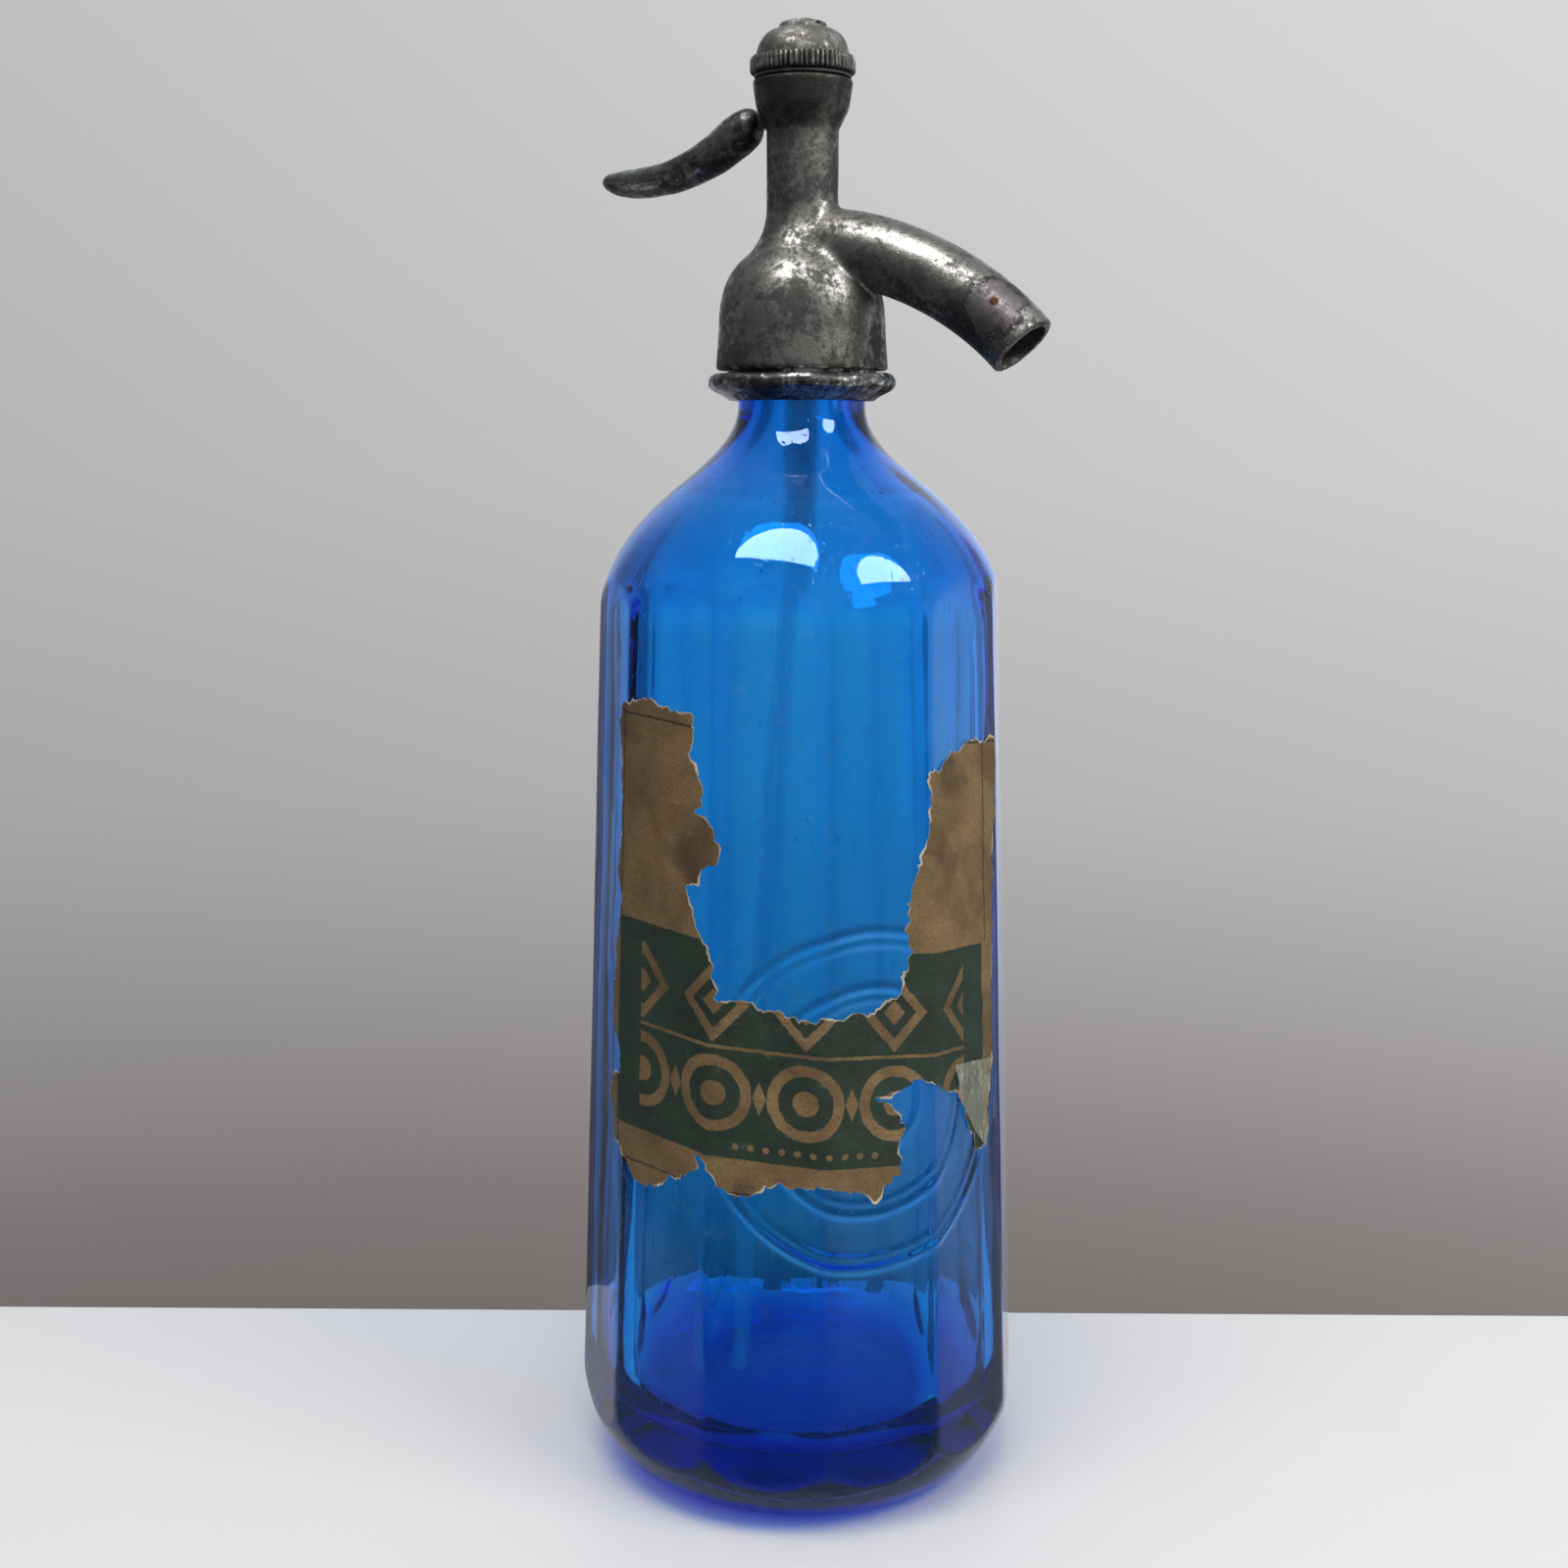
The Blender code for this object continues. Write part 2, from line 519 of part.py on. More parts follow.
def make_label(finishes):
    """Torn paper, cut flat, folded at the facet corners and stood off the glass by the gap."""
    wrap_radius = (BODY_FOOT_RADIUS + BODY_TOP_RADIUS) / 2
    sheet = bmesh.new()
    edge = []
    for across_share, up_share in LABEL_EDGE_SHARES:
        run = across_share * LABEL_WIDTH
        height = LABEL_BASE + up_share * LABEL_HEIGHT - LABEL_TILT * run
        edge.append(sheet.verts.new((LABEL_TURN + run / wrap_radius, 0.0, height)))
    sheet.faces.new(edge)
    step = 2 * FACET_HALF_ANGLE
    first = math.ceil((min(vert.co.x for vert in edge) - FACET_TURN) / step)
    last = math.floor((max(vert.co.x for vert in edge) - FACET_TURN) / step)
    for fold in range(first, last + 1):
        bmesh.ops.bisect_plane(sheet, geom=sheet.verts[:] + sheet.edges[:] + sheet.faces[:],
                               plane_co=(FACET_TURN + fold * step, 0, 0), plane_no=(1, 0, 0), dist=MERGE)
    bmesh.ops.triangulate(sheet, faces=sheet.faces[:])
    flat_points = {vert: (vert.co.x, vert.co.z) for vert in sheet.verts}
    back = sheet.faces[:]
    copies = bmesh.ops.duplicate(sheet, geom=sheet.verts[:] + sheet.edges[:] + back)
    front_of = {}
    for vert, twin in copies["vert_map"].items():
        if vert in flat_points:
            front_of[vert] = twin
    rims = [rim for rim in sheet.edges if rim.is_boundary and rim.verts[0] in flat_points]
    for rim in rims:
        one, other = rim.verts
        sheet.faces.new((one, other, front_of[other], front_of[one]))
    for vert, (angle, height) in flat_points.items():
        vert.co = on_facets(angle, height, GAP)
        front_of[vert].co = on_facets(angle, height, GAP + LABEL_THICKNESS)
    bmesh.ops.recalc_face_normals(sheet, faces=sheet.faces[:])
    add_object("label", sheet, finishes["kraft_paper"])


# Collar and gasket

def make_collar(finishes):
    inner = NECK_RADIUS + GAP
    sleeve = SKIRT_BORE_RADIUS - GAP
    flange_top = HEAD_FOOT - COLLAR_DROP
    foot = flange_top - COLLAR_HEIGHT
    sleeve_top = BOTTLE_HEIGHT - LIP_HEIGHT - GAP
    outline = [(inner, foot)]
    for out_share, up_share in COLLAR_FLANGE_SHARES:
        outline.append((COLLAR_FOOT_RADIUS + out_share * (COLLAR_RADIUS - COLLAR_FOOT_RADIUS),
                        foot + up_share * COLLAR_HEIGHT))
    outline += [(sleeve, flange_top), (sleeve, sleeve_top), (inner, sleeve_top)]
    seam_angle = COLLAR_SEAM / inner
    for index, name in enumerate(("collar_rear_half", "collar_front_half")):
        start = COLLAR_SEAM_TURN + index * math.pi + seam_angle / 2
        half = turned_part(outline, HEAD_SEGMENTS // 2, start, math.pi - seam_angle)
        add_object(name, half, finishes["collar_metal"])


def make_lip_gasket(finishes):
    inner = NECK_BORE_RADIUS + GAP
    outer = LIP_RADIUS
    outline = [(inner, 0.0), (outer, 0.0), (outer, GASKET_THICKNESS), (inner, GASKET_THICKNESS)]
    add_object("lip_gasket", turned(outline, HEAD_SEGMENTS), finishes["black_rubber"],
               (0, 0, BOTTLE_HEIGHT + GAP))


# Head casting

def head_outside():
    """Outside of the head from the skirt's edge to the cup's rim, from the head's foot."""
    bell_foot = (BELL_RADIUS, SKIRT_HEIGHT)
    bend = (BELL_BEND_RADIUS, SKIRT_HEIGHT + BELL_BEND_RISE)
    column_foot = (COLUMN_RADIUS, SKIRT_HEIGHT + BELL_RISE)
    slope = BELL_SLOPE_SHARES
    handles = [share * BELL_RISE for share in BELL_HANDLE_SHARES]
    upper = bezier(bell_foot, (bell_foot[0], bell_foot[1] + handles[0]),
                   (bend[0] + slope[0] * handles[1], bend[1] - slope[1] * handles[1]), bend, CURVE_STEPS)
    lower = bezier(bend, (bend[0] - slope[0] * handles[2], bend[1] + slope[1] * handles[2]),
                   (column_foot[0], column_foot[1] - handles[3]), column_foot, CURVE_STEPS)
    column_top = column_foot[1] + COLUMN_HEIGHT
    flare_top = column_top + CUP_FLARE_HEIGHT
    handle = CUP_FLARE_HEIGHT * CUP_FLARE_HANDLE_SHARE
    flare = bezier((COLUMN_RADIUS, column_top), (COLUMN_RADIUS, column_top + handle),
                   (CUP_FLARE_RADIUS, flare_top - handle), (CUP_FLARE_RADIUS, flare_top), ARC_STEPS)
    return [(SKIRT_RADIUS, 0.0)] + upper + lower[1:] + flare + [(CUP_RADIUS, column_top + CUP_HEIGHT)]


def make_head_body(finishes):
    heights = [height - HEAD_FOOT for height in
               (CUP_TOP, CUP_FLOOR, GLAND_FLOOR, CHAMBER_CEILING, CHAMBER_FLOOR, SKIRT_CEILING)]
    cup_top, cup_floor, gland_floor, chamber_ceiling, chamber_floor, ceiling = heights
    rod_hole = ROD_RADIUS + GAP
    bores = [(CUP_BORE_RADIUS, cup_top), (CUP_BORE_RADIUS, cup_floor),
             (GLAND_BORE_RADIUS, cup_floor), (GLAND_BORE_RADIUS, gland_floor),
             (rod_hole, gland_floor), (rod_hole, chamber_ceiling),
             (CHAMBER_RADIUS, chamber_ceiling), (CHAMBER_RADIUS, chamber_floor - SEAT_BORE_STEP),
             (SEAT_BORE_RADIUS, chamber_floor - SEAT_BORE_STEP), (SEAT_BORE_RADIUS, ceiling),
             (SKIRT_BORE_RADIUS, ceiling), (SKIRT_BORE_RADIUS, 0.0)]
    head = add_object("head_body", turned(head_outside() + bores, HEAD_SEGMENTS), finishes["pewter"],
                      (0, 0, HEAD_FOOT))
    along = spout_direction(SPOUT_START_SLOPE)
    start = Vector((SPOUT_START, 0, SPOUT_AXIS_HEIGHT))
    port = rod_between(start - along * SPOUT_START, start + along * (SPIGOT_LENGTH + OVERRUN),
                       SPIGOT_RADIUS + GAP, SMALL_SEGMENTS)
    add_boolean(head, port, "DIFFERENCE")
    slot_width = TONGUE_THICKNESS + GAP + GAP
    slot = box((-CUP_RADIUS - OVERRUN, -slot_width / 2, SLOT_FOOT),
               (-GLAND_BORE_RADIUS + OVERRUN, slot_width / 2, PIVOT_HEIGHT + SLOT_HEIGHT_ABOVE))
    add_boolean(head, slot, "DIFFERENCE")
    groove_half = PIN_RADIUS + PIN_CLEARANCE
    groove_end = PIN_LENGTH / 2 + GAP
    groove = box((-PIVOT_RADIUS - groove_half, -groove_end, PIVOT_HEIGHT - groove_half),
                 (-PIVOT_RADIUS + groove_half, groove_end, CUP_FLOOR + OVERRUN))
    add_boolean(head, groove, "DIFFERENCE")


# Spout

def spout_direction(slope):
    return Vector((math.cos(slope), 0.0, -math.sin(slope)))


def spout_stations(root_radius, mouth_radius, early, late):
    """Rings along the spout's curve, which keep the root's radius as far as the spigot reaches.

    The curve runs on straight before its start and past its mouth by the two last lengths.
    """
    start = (SPOUT_START, SPOUT_AXIS_HEIGHT)
    end = (SPOUT_REACH, SPOUT_AXIS_HEIGHT - SPOUT_DROP)
    run = SPOUT_REACH - SPOUT_START
    first = spout_direction(SPOUT_START_SLOPE)
    final = spout_direction(SPOUT_END_SLOPE)
    out = run * SPOUT_START_HANDLE_SHARE
    back = run * SPOUT_END_HANDLE_SHARE
    route = bezier(start, (start[0] + first.x * out, start[1] + first.z * out),
                   (end[0] - final.x * back, end[1] - final.z * back), end, SPOUT_RINGS)
    points = [Vector((x, 0.0, z)) for x, z in route]
    stations = []
    for index, point in enumerate(points):
        share = max(point.x - SPOUT_START - SPIGOT_LENGTH, 0.0) / (run - SPIGOT_LENGTH)
        before = points[max(index - 1, 0)]
        after = points[min(index + 1, SPOUT_RINGS)]
        along = (after - before).normalized()
        if index == 0:
            along = first
        if index == SPOUT_RINGS:
            along = final
        radius = root_radius + (mouth_radius - root_radius) * share
        stations.append((point, along, radius, radius))
    if early > 0:
        stations.insert(0, (points[0] - first * early, first, root_radius, root_radius))
    if late > 0:
        stations.append((points[-1] + final * late, final, mouth_radius, mouth_radius))
    return stations


def make_spout(finishes):
    """An elbow whose root is saddled to the bell, with a spigot in the head's side port."""
    body = swept(spout_stations(SPOUT_ROOT_RADIUS, SPOUT_MOUTH_RADIUS, 0.0, 0.0), SPOUT_SEGMENTS)
    spout = add_object("spout", body, finishes["pewter"])
    outside = head_outside()
    saddle = offset_outline(outside, [-GAP] * len(outside))
    saddle = [(0.0, saddle[0][1])] + saddle + [(0.0, saddle[-1][1])]
    add_boolean(spout, turned(saddle, HEAD_SEGMENTS), "DIFFERENCE", (0, 0, HEAD_FOOT))
    along = spout_direction(SPOUT_START_SLOPE)
    start = Vector((SPOUT_START, 0, SPOUT_AXIS_HEIGHT))
    spigot = rod_between(start, start + along * SPIGOT_LENGTH, SPIGOT_RADIUS, SMALL_SEGMENTS)
    add_boolean(spout, spigot, "UNION")
    hollow = spout_stations(SPIGOT_BORE_RADIUS, SPOUT_MOUTH_BORE_RADIUS, OVERRUN, OVERRUN)
    bore = swept(hollow, SMALL_SEGMENTS)
    add_boolean(spout, bore, "DIFFERENCE")


# Lever

def tongue_outline():
    """The part of the lever inside the head, from its pivot: shank, boss, web and nose."""
    nose = (PIVOT_RADIUS, -NOSE_DROP)
    boss = (TONGUE_BOSS_RADIUS, TONGUE_BOSS_RADIUS)
    ball = (NOSE_RADIUS, NOSE_RADIUS)
    over_boss = arc((0.0, 0.0), boss, *BOSS_ANGLES, ARC_STEPS)
    round_nose = arc(nose, ball, *NOSE_ANGLES, ARC_STEPS + ARC_STEPS)
    under_boss = arc((0.0, 0.0), boss, *UNDER_BOSS_ANGLES, ARC_STEPS)
    shank = [(-SHANK_LENGTH, -SHANK_HEIGHT / 2), (-SHANK_LENGTH, SHANK_HEIGHT / 2)]
    return over_boss + round_nose + under_boss + shank


def lever_stations():
    centres = [Vector((-reach * LEVER_REACH, 0.0, -drop * LEVER_DROP))
               for reach, drop, _, _ in LEVER_STATION_SHARES]
    stations = []
    for index, (_, _, thick, wide) in enumerate(LEVER_STATION_SHARES):
        before = centres[max(index - 1, 0)]
        after = centres[min(index + 1, len(centres) - 1)]
        stations.append((centres[index], (after - before).normalized(),
                         wide * LEVER_WIDTH / 2, thick * LEVER_THICKNESS / 2))
    return stations


def make_lever(finishes):
    pivot = bpy.data.objects.new("lever_pivot", None)
    bpy.context.collection.objects.link(pivot)
    pivot.location = (-PIVOT_RADIUS, 0, PIVOT_HEIGHT)
    lever = add_object("lever", swept(lever_stations(), LEVER_SEGMENTS), finishes["pewter"], parent=pivot)
    add_boolean(lever, prism(tongue_outline(), TONGUE_THICKNESS), "UNION")
    hole_end = Vector((0, TONGUE_THICKNESS / 2 + OVERRUN, 0))
    hole = rod_between(-hole_end, hole_end, PIN_RADIUS + PIN_CLEARANCE, LEVER_SEGMENTS)
    add_boolean(lever, hole, "DIFFERENCE")
    pin_end = Vector((0, PIN_LENGTH / 2, 0))
    pin = rod_between(-pin_end, pin_end, PIN_RADIUS, LEVER_SEGMENTS)
    add_object("lever_pin", pin, finishes["steel"], (-PIVOT_RADIUS, 0, PIVOT_HEIGHT))


# Plunger, valve and spring

def make_plunger(finishes):
    """Everything that the lever lifts, under an empty on the valve's axis."""
    slide = bpy.data.objects.new("plunger_slide", None)
    bpy.context.collection.objects.link(slide)
    slide.location = (0, 0, SEAT_TOP)
    washer_foot = GAP
    disc_foot = washer_foot + WASHER_THICKNESS + GAP
    rod_foot = disc_foot + DISC_THICKNESS + GAP
    block_foot = BLOCK_FOOT - SEAT_TOP
    block_top = BLOCK_TOP - SEAT_TOP
    hole = SCREW_SHANK_RADIUS + GAP
    outline = [(0.0, rod_foot + SCREW_GRIP + GAP), (hole, rod_foot + SCREW_GRIP + GAP), (hole, rod_foot),
               (ROD_RADIUS, rod_foot), (ROD_RADIUS, block_foot), (BLOCK_RADIUS - BLOCK_EDGE, block_foot),
               (BLOCK_RADIUS, block_foot + BLOCK_EDGE), (BLOCK_RADIUS, block_top - BLOCK_EDGE),
               (BLOCK_RADIUS - BLOCK_EDGE, block_top), (0.0, block_top)]
    rod = add_object("plunger_rod", turned(outline, SMALL_SEGMENTS), finishes["brass"], parent=slide)
    window_half = TONGUE_THICKNESS / 2 + GAP
    window = box((-BLOCK_RADIUS - OVERRUN, -window_half, WINDOW_FLOOR - SEAT_TOP),
                 (BLOCK_RADIUS + OVERRUN, window_half, WINDOW_CEILING - SEAT_TOP))
    add_boolean(rod, window, "DIFFERENCE")

    seat_foot = block_top + GAP
    seat = [(0.0, 0.0), (BLOCK_RADIUS, 0.0), (BLOCK_RADIUS, SPRING_SEAT_THICKNESS),
            (SPRING_SPIGOT_RADIUS, SPRING_SEAT_THICKNESS),
            (SPRING_SPIGOT_RADIUS, SPRING_SEAT_THICKNESS + SPRING_SPIGOT_HEIGHT),
            (0.0, SPRING_SEAT_THICKNESS + SPRING_SPIGOT_HEIGHT)]
    add_object("spring_seat", turned(seat, SMALL_SEGMENTS), finishes["brass"], (0, 0, seat_foot), slide)

    disc = [(hole, 0.0), (DISC_RADIUS, 0.0), (DISC_RADIUS, DISC_THICKNESS), (hole, DISC_THICKNESS)]
    add_object("valve_disc", turned(disc, SMALL_SEGMENTS), finishes["brass"], (0, 0, disc_foot), slide)
    washer = [(hole, 0.0), (WASHER_RADIUS, 0.0), (WASHER_RADIUS, WASHER_THICKNESS), (hole, WASHER_THICKNESS)]
    add_object("valve_washer", turned(washer, SMALL_SEGMENTS), finishes["black_rubber"],
               (0, 0, washer_foot), slide)
    shank_top = rod_foot + SCREW_GRIP
    screw = [(0.0, -SCREW_HEAD_HEIGHT), (SCREW_HEAD_RADIUS, -SCREW_HEAD_HEIGHT), (SCREW_HEAD_RADIUS, 0.0),
             (SCREW_SHANK_RADIUS, 0.0), (SCREW_SHANK_RADIUS, shank_top), (0.0, shank_top)]
    add_object("valve_screw", turned(screw, SMALL_SEGMENTS), finishes["brass"], parent=slide)
    return slide


def make_valve_spring(finishes):
    """One wire, wound closed at both ends and open between them."""
    foot = BLOCK_TOP + GAP + SPRING_SEAT_THICKNESS + GAP + SPRING_WIRE_RADIUS
    top = CAP_FOOT - CAP_SKIRT_HEIGHT + CAP_POCKET_HEIGHT - GAP - SPRING_WIRE_RADIUS
    closed_pitch = SPRING_WIRE_RADIUS * 2 + GAP
    open_turns = SPRING_TURNS - 2 * SPRING_END_TURNS
    open_rise = top - foot - 2 * SPRING_END_TURNS * closed_pitch
    count = round(SPRING_TURNS * SPRING_POINTS_PER_TURN)
    data = bpy.data.curves.new("valve_spring", "CURVE")
    data.dimensions = "3D"
    data.bevel_depth = SPRING_WIRE_RADIUS
    data.bevel_resolution = 1
    data.use_fill_caps = True
    data.render_resolution_u = 0
    wire = data.splines.new("POLY")
    wire.points.add(count)
    for index, point in enumerate(wire.points):
        turns = index * SPRING_TURNS / count
        in_open = min(max(turns - SPRING_END_TURNS, 0), open_turns)
        rise = (turns - in_open) * closed_pitch + in_open * open_rise / open_turns
        angle = math.tau * turns
        point.co = (SPRING_RADIUS * math.cos(angle), SPRING_RADIUS * math.sin(angle), rise, 1.0)
    spring = bpy.data.objects.new("valve_spring", data)
    bpy.context.collection.objects.link(spring)
    spring.location = (0, 0, foot)
    data.materials.append(finishes["steel"])


def make_gland(finishes):
    inner = ROD_RADIUS + GAP
    outer = GLAND_BORE_RADIUS - GAP
    packing = [(inner, 0.0), (outer, 0.0), (outer, PACKING_HEIGHT), (inner, PACKING_HEIGHT)]
    add_object("gland_packing", turned(packing, SMALL_SEGMENTS), finishes["black_rubber"],
               (0, 0, GLAND_FLOOR + GAP))
    nut_foot = GLAND_FLOOR + GAP + PACKING_HEIGHT + GAP
    nut = [(inner, 0.0), (outer, 0.0), (outer, GLAND_NUT_HEIGHT), (inner, GLAND_NUT_HEIGHT)]
    gland_nut = add_object("gland_nut", turned(nut, SMALL_SEGMENTS), finishes["brass"], (0, 0, nut_foot))
    slot_top = nut_foot + GLAND_NUT_HEIGHT
    slot = box((-outer - OVERRUN, -GLAND_SLOT_WIDTH / 2, slot_top - GLAND_SLOT_DEPTH),
               (outer + OVERRUN, GLAND_SLOT_WIDTH / 2, slot_top + OVERRUN))
    add_boolean(gland_nut, slot, "DIFFERENCE")


# Valve seat, tube nut and dip tube

def make_valve_seat(finishes):
    """Screwed up into the head's web, with the dip tube's socket below."""
    thread = SEAT_BORE_RADIUS - GAP
    socket_top = SOCKET_DEPTH
    flange_foot = SEAT_SPIGOT_HEIGHT
    flange_top = flange_foot + SEAT_FLANGE_HEIGHT
    thread_top = SEAT_TOP - SEAT_LIP_HEIGHT - SEAT_FOOT
    lip_top = SEAT_TOP - SEAT_FOOT
    outline = [(TUBE_CLEAR_RADIUS, 0.0), (SEAT_SPIGOT_RADIUS, 0.0), (SEAT_SPIGOT_RADIUS, flange_foot),
               (SEAT_FLANGE_RADIUS, flange_foot), (SEAT_FLANGE_RADIUS, flange_top), (thread, flange_top),
               (thread, thread_top), (SEAT_LIP_RADIUS, thread_top), (SEAT_LIP_RADIUS, lip_top),
               (SEAT_ORIFICE_RADIUS, lip_top), (SEAT_ORIFICE_RADIUS, socket_top),
               (TUBE_CLEAR_RADIUS, socket_top)]
    add_object("valve_seat", turned(outline, SMALL_SEGMENTS), finishes["brass"], (0, 0, SEAT_FOOT))


def make_tube_nut(finishes):
    grommet_foot = SEAT_FOOT - GAP - GROMMET_HEIGHT
    grommet = [(TUBE_CLEAR_RADIUS, 0.0), (SEAT_SPIGOT_RADIUS, 0.0), (SEAT_SPIGOT_RADIUS, GROMMET_HEIGHT),
               (TUBE_CLEAR_RADIUS, GROMMET_HEIGHT)]
    add_object("tube_grommet", turned(grommet, SMALL_SEGMENTS), finishes["black_rubber"],
               (0, 0, grommet_foot))
    bore = SEAT_SPIGOT_RADIUS + GAP
    outer = bore + TUBE_NUT_WALL
    blank = outer + OVERRUN
    height = SEAT_FOOT + TUBE_NUT_GRIP - TUBE_NUT_FOOT
    inside = [(TUBE_CLEAR_RADIUS, 0.0), (blank, 0.0), (blank, height),
              (bore, height), (bore, TUBE_NUT_FLOOR), (TUBE_CLEAR_RADIUS, TUBE_NUT_FLOOR)]
    nut = add_object("tube_nut", turned(inside, SMALL_SEGMENTS), finishes["brass"], (0, 0, TUBE_NUT_FOOT))
    hexagon = bmesh.new()
    bmesh.ops.create_cone(hexagon, cap_ends=True, segments=HEX_SIDES, radius1=outer, radius2=outer,
                          depth=height + OVERRUN + OVERRUN)
    add_boolean(nut, hexagon, "INTERSECT", (0, 0, TUBE_NUT_FOOT + height / 2))


def tube_route(distances):
    """Centres and directions on the tube at distances down from its top."""
    straight = TUBE_TOP - TUBE_NUT_FOOT + TUBE_BEND_START
    lean = Vector((math.cos(TUBE_LEAN_TURN), math.sin(TUBE_LEAN_TURN), 0.0))
    bend_radius = TUBE_BEND_LENGTH / TUBE_LEAN
    stations = []
    for distance in distances:
        in_bend = min(max(distance - straight, 0.0), TUBE_BEND_LENGTH)
        after = max(distance - straight - TUBE_BEND_LENGTH, 0.0)
        angle = in_bend / bend_radius
        aside = bend_radius * (1 - math.cos(angle)) + after * math.sin(angle)
        down = min(distance, straight) + bend_radius * math.sin(angle) + after * math.cos(angle)
        centre = lean * aside + Vector((0, 0, TUBE_TOP - down))
        stations.append((centre, lean * math.sin(angle) - Vector((0, 0, math.cos(angle)))))
    return stations


def make_pipe(name, distances, outer, inner, finish):
    """A pipe along the tube's route, made as one wall with open ends."""
    rings = []
    work = bmesh.new()
    across = Vector((-math.sin(TUBE_LEAN_TURN), math.cos(TUBE_LEAN_TURN), 0.0))
    for radius in (outer, inner):
        for centre, along in tube_route(distances):
            front = across.cross(along).normalized()
            ring = []
            for step in range(TUBE_SEGMENTS):
                angle = math.tau * step / TUBE_SEGMENTS
                spoke = across * math.cos(angle) + front * math.sin(angle)
                ring.append(work.verts.new(centre + spoke * radius))
            rings.append(ring)
    count = len(distances)
    skins = rings[:count] + rings[:count - 1:-1]
    for first, second in zip(skins, skins[1:] + skins[:1]):
        for step in range(TUBE_SEGMENTS):
            after = (step + 1) % TUBE_SEGMENTS
            work.faces.new((first[step], first[after], second[after], second[step]))
    bmesh.ops.recalc_face_normals(work, faces=work.faces[:])
    add_object(name, work, finish)


def make_tube(finishes):
    bend_start = TUBE_TOP - TUBE_NUT_FOOT + TUBE_BEND_START
    bend = [bend_start + TUBE_BEND_LENGTH * step / ARC_STEPS for step in range(ARC_STEPS + 1)]
    full_length = (TUBE_TOP - FLOOR_THICKNESS - TUBE_FOOT_CLEARANCE) / math.cos(TUBE_LEAN)
    make_pipe("dip_tube", [0.0] + bend + [full_length], TUBE_RADIUS, TUBE_BORE_RADIUS, finishes["clear_tube"])
    sleeve_start = TUBE_TOP - TUBE_NUT_FOOT + GAP
    sleeve_end = sleeve_start + SLEEVE_LENGTH
    between = [distance for distance in bend if sleeve_start < distance < sleeve_end]
    make_pipe("tube_sleeve", [sleeve_start] + between + [sleeve_end], SLEEVE_RADIUS, TUBE_CLEAR_RADIUS,
              finishes["grey_sleeve"])


# Cap

def knurled_ring():
    """The toothed rim, whose inside lies within the cap's solid metal."""
    ring = bmesh.new()
    inner = (CAP_POCKET_RADIUS + DOME_RADIUS) / 2
    columns = []
    for step in range(2 * KNURL_COUNT):
        angle = math.pi * step / KNURL_COUNT
        outer = KNURL_RADIUS if step % 2 == 0 else KNURL_ROOT_RADIUS
        column = []
        for radius, height in ((inner, 0), (outer, 0), (outer, KNURL_HEIGHT), (inner, KNURL_HEIGHT)):
            column.append(ring.verts.new((radius * math.cos(angle), radius * math.sin(angle), height)))
        columns.append(column)
    for first, second in zip(columns, columns[1:] + columns[:1]):
        for side in range(len(first)):
            ring.faces.new((first[side - 1], first[side], second[side], second[side - 1]))
    bmesh.ops.recalc_face_normals(ring, faces=ring.faces[:])
    return ring


def make_cap(finishes):
    """Domed screw cap with a knurled rim, a spring pocket and a slotted stub."""
    skirt = CUP_BORE_RADIUS - GAP
    rim = CAP_SKIRT_HEIGHT + KNURL_HEIGHT
    dome_foot = rim + DOME_CROWN
    dome_top = rim + DOME_HEIGHT
    stub_top = dome_top + STUB_HEIGHT
    dome = arc((STUB_RADIUS, dome_foot), (DOME_RADIUS - STUB_RADIUS, dome_top - dome_foot), 0, 90, ARC_STEPS)
    outline = [(0.0, CAP_POCKET_HEIGHT), (CAP_POCKET_RADIUS, CAP_POCKET_HEIGHT), (CAP_POCKET_RADIUS, 0.0),
               (skirt, 0.0), (skirt, CAP_SKIRT_HEIGHT), (DOME_RADIUS, CAP_SKIRT_HEIGHT)]
    outline += dome + [(STUB_RADIUS, stub_top - STUB_EDGE), (STUB_RADIUS - STUB_EDGE, stub_top),
                       (0.0, stub_top)]
    foot = CAP_FOOT - CAP_SKIRT_HEIGHT
    cap = add_object("cap", turned(outline, HEAD_SEGMENTS), finishes["pewter"], (0, 0, foot))
    add_boolean(cap, knurled_ring(), "UNION", (0, 0, CAP_FOOT))
    slot = box((-STUB_RADIUS - OVERRUN, -CAP_SLOT_WIDTH / 2, foot + stub_top - CAP_SLOT_DEPTH),
               (STUB_RADIUS + OVERRUN, CAP_SLOT_WIDTH / 2, foot + stub_top + OVERRUN))
    add_boolean(cap, slot, "DIFFERENCE")


def make_cap_washer(finishes):
    inner = CUP_BORE_RADIUS + CAP_WASHER_MARGIN
    outer = CUP_RADIUS - CAP_WASHER_MARGIN
    outline = [(inner, 0.0), (outer, 0.0), (outer, CAP_WASHER_THICKNESS), (inner, CAP_WASHER_THICKNESS)]
    add_object("cap_washer", turned(outline, HEAD_SEGMENTS), finishes["black_rubber"], (0, 0, CUP_TOP + GAP))


def main():
    clear_scene()
    finishes = make_finishes()
    make_bottle(finishes)
    make_label(finishes)
    make_collar(finishes)
    make_lip_gasket(finishes)
    make_head_body(finishes)
    make_spout(finishes)
    make_lever(finishes)
    make_plunger(finishes)
    make_valve_spring(finishes)
    make_gland(finishes)
    make_valve_seat(finishes)
    make_tube_nut(finishes)
    make_tube(finishes)
    make_cap(finishes)
    make_cap_washer(finishes)
    bpy.context.view_layer.update()


main()
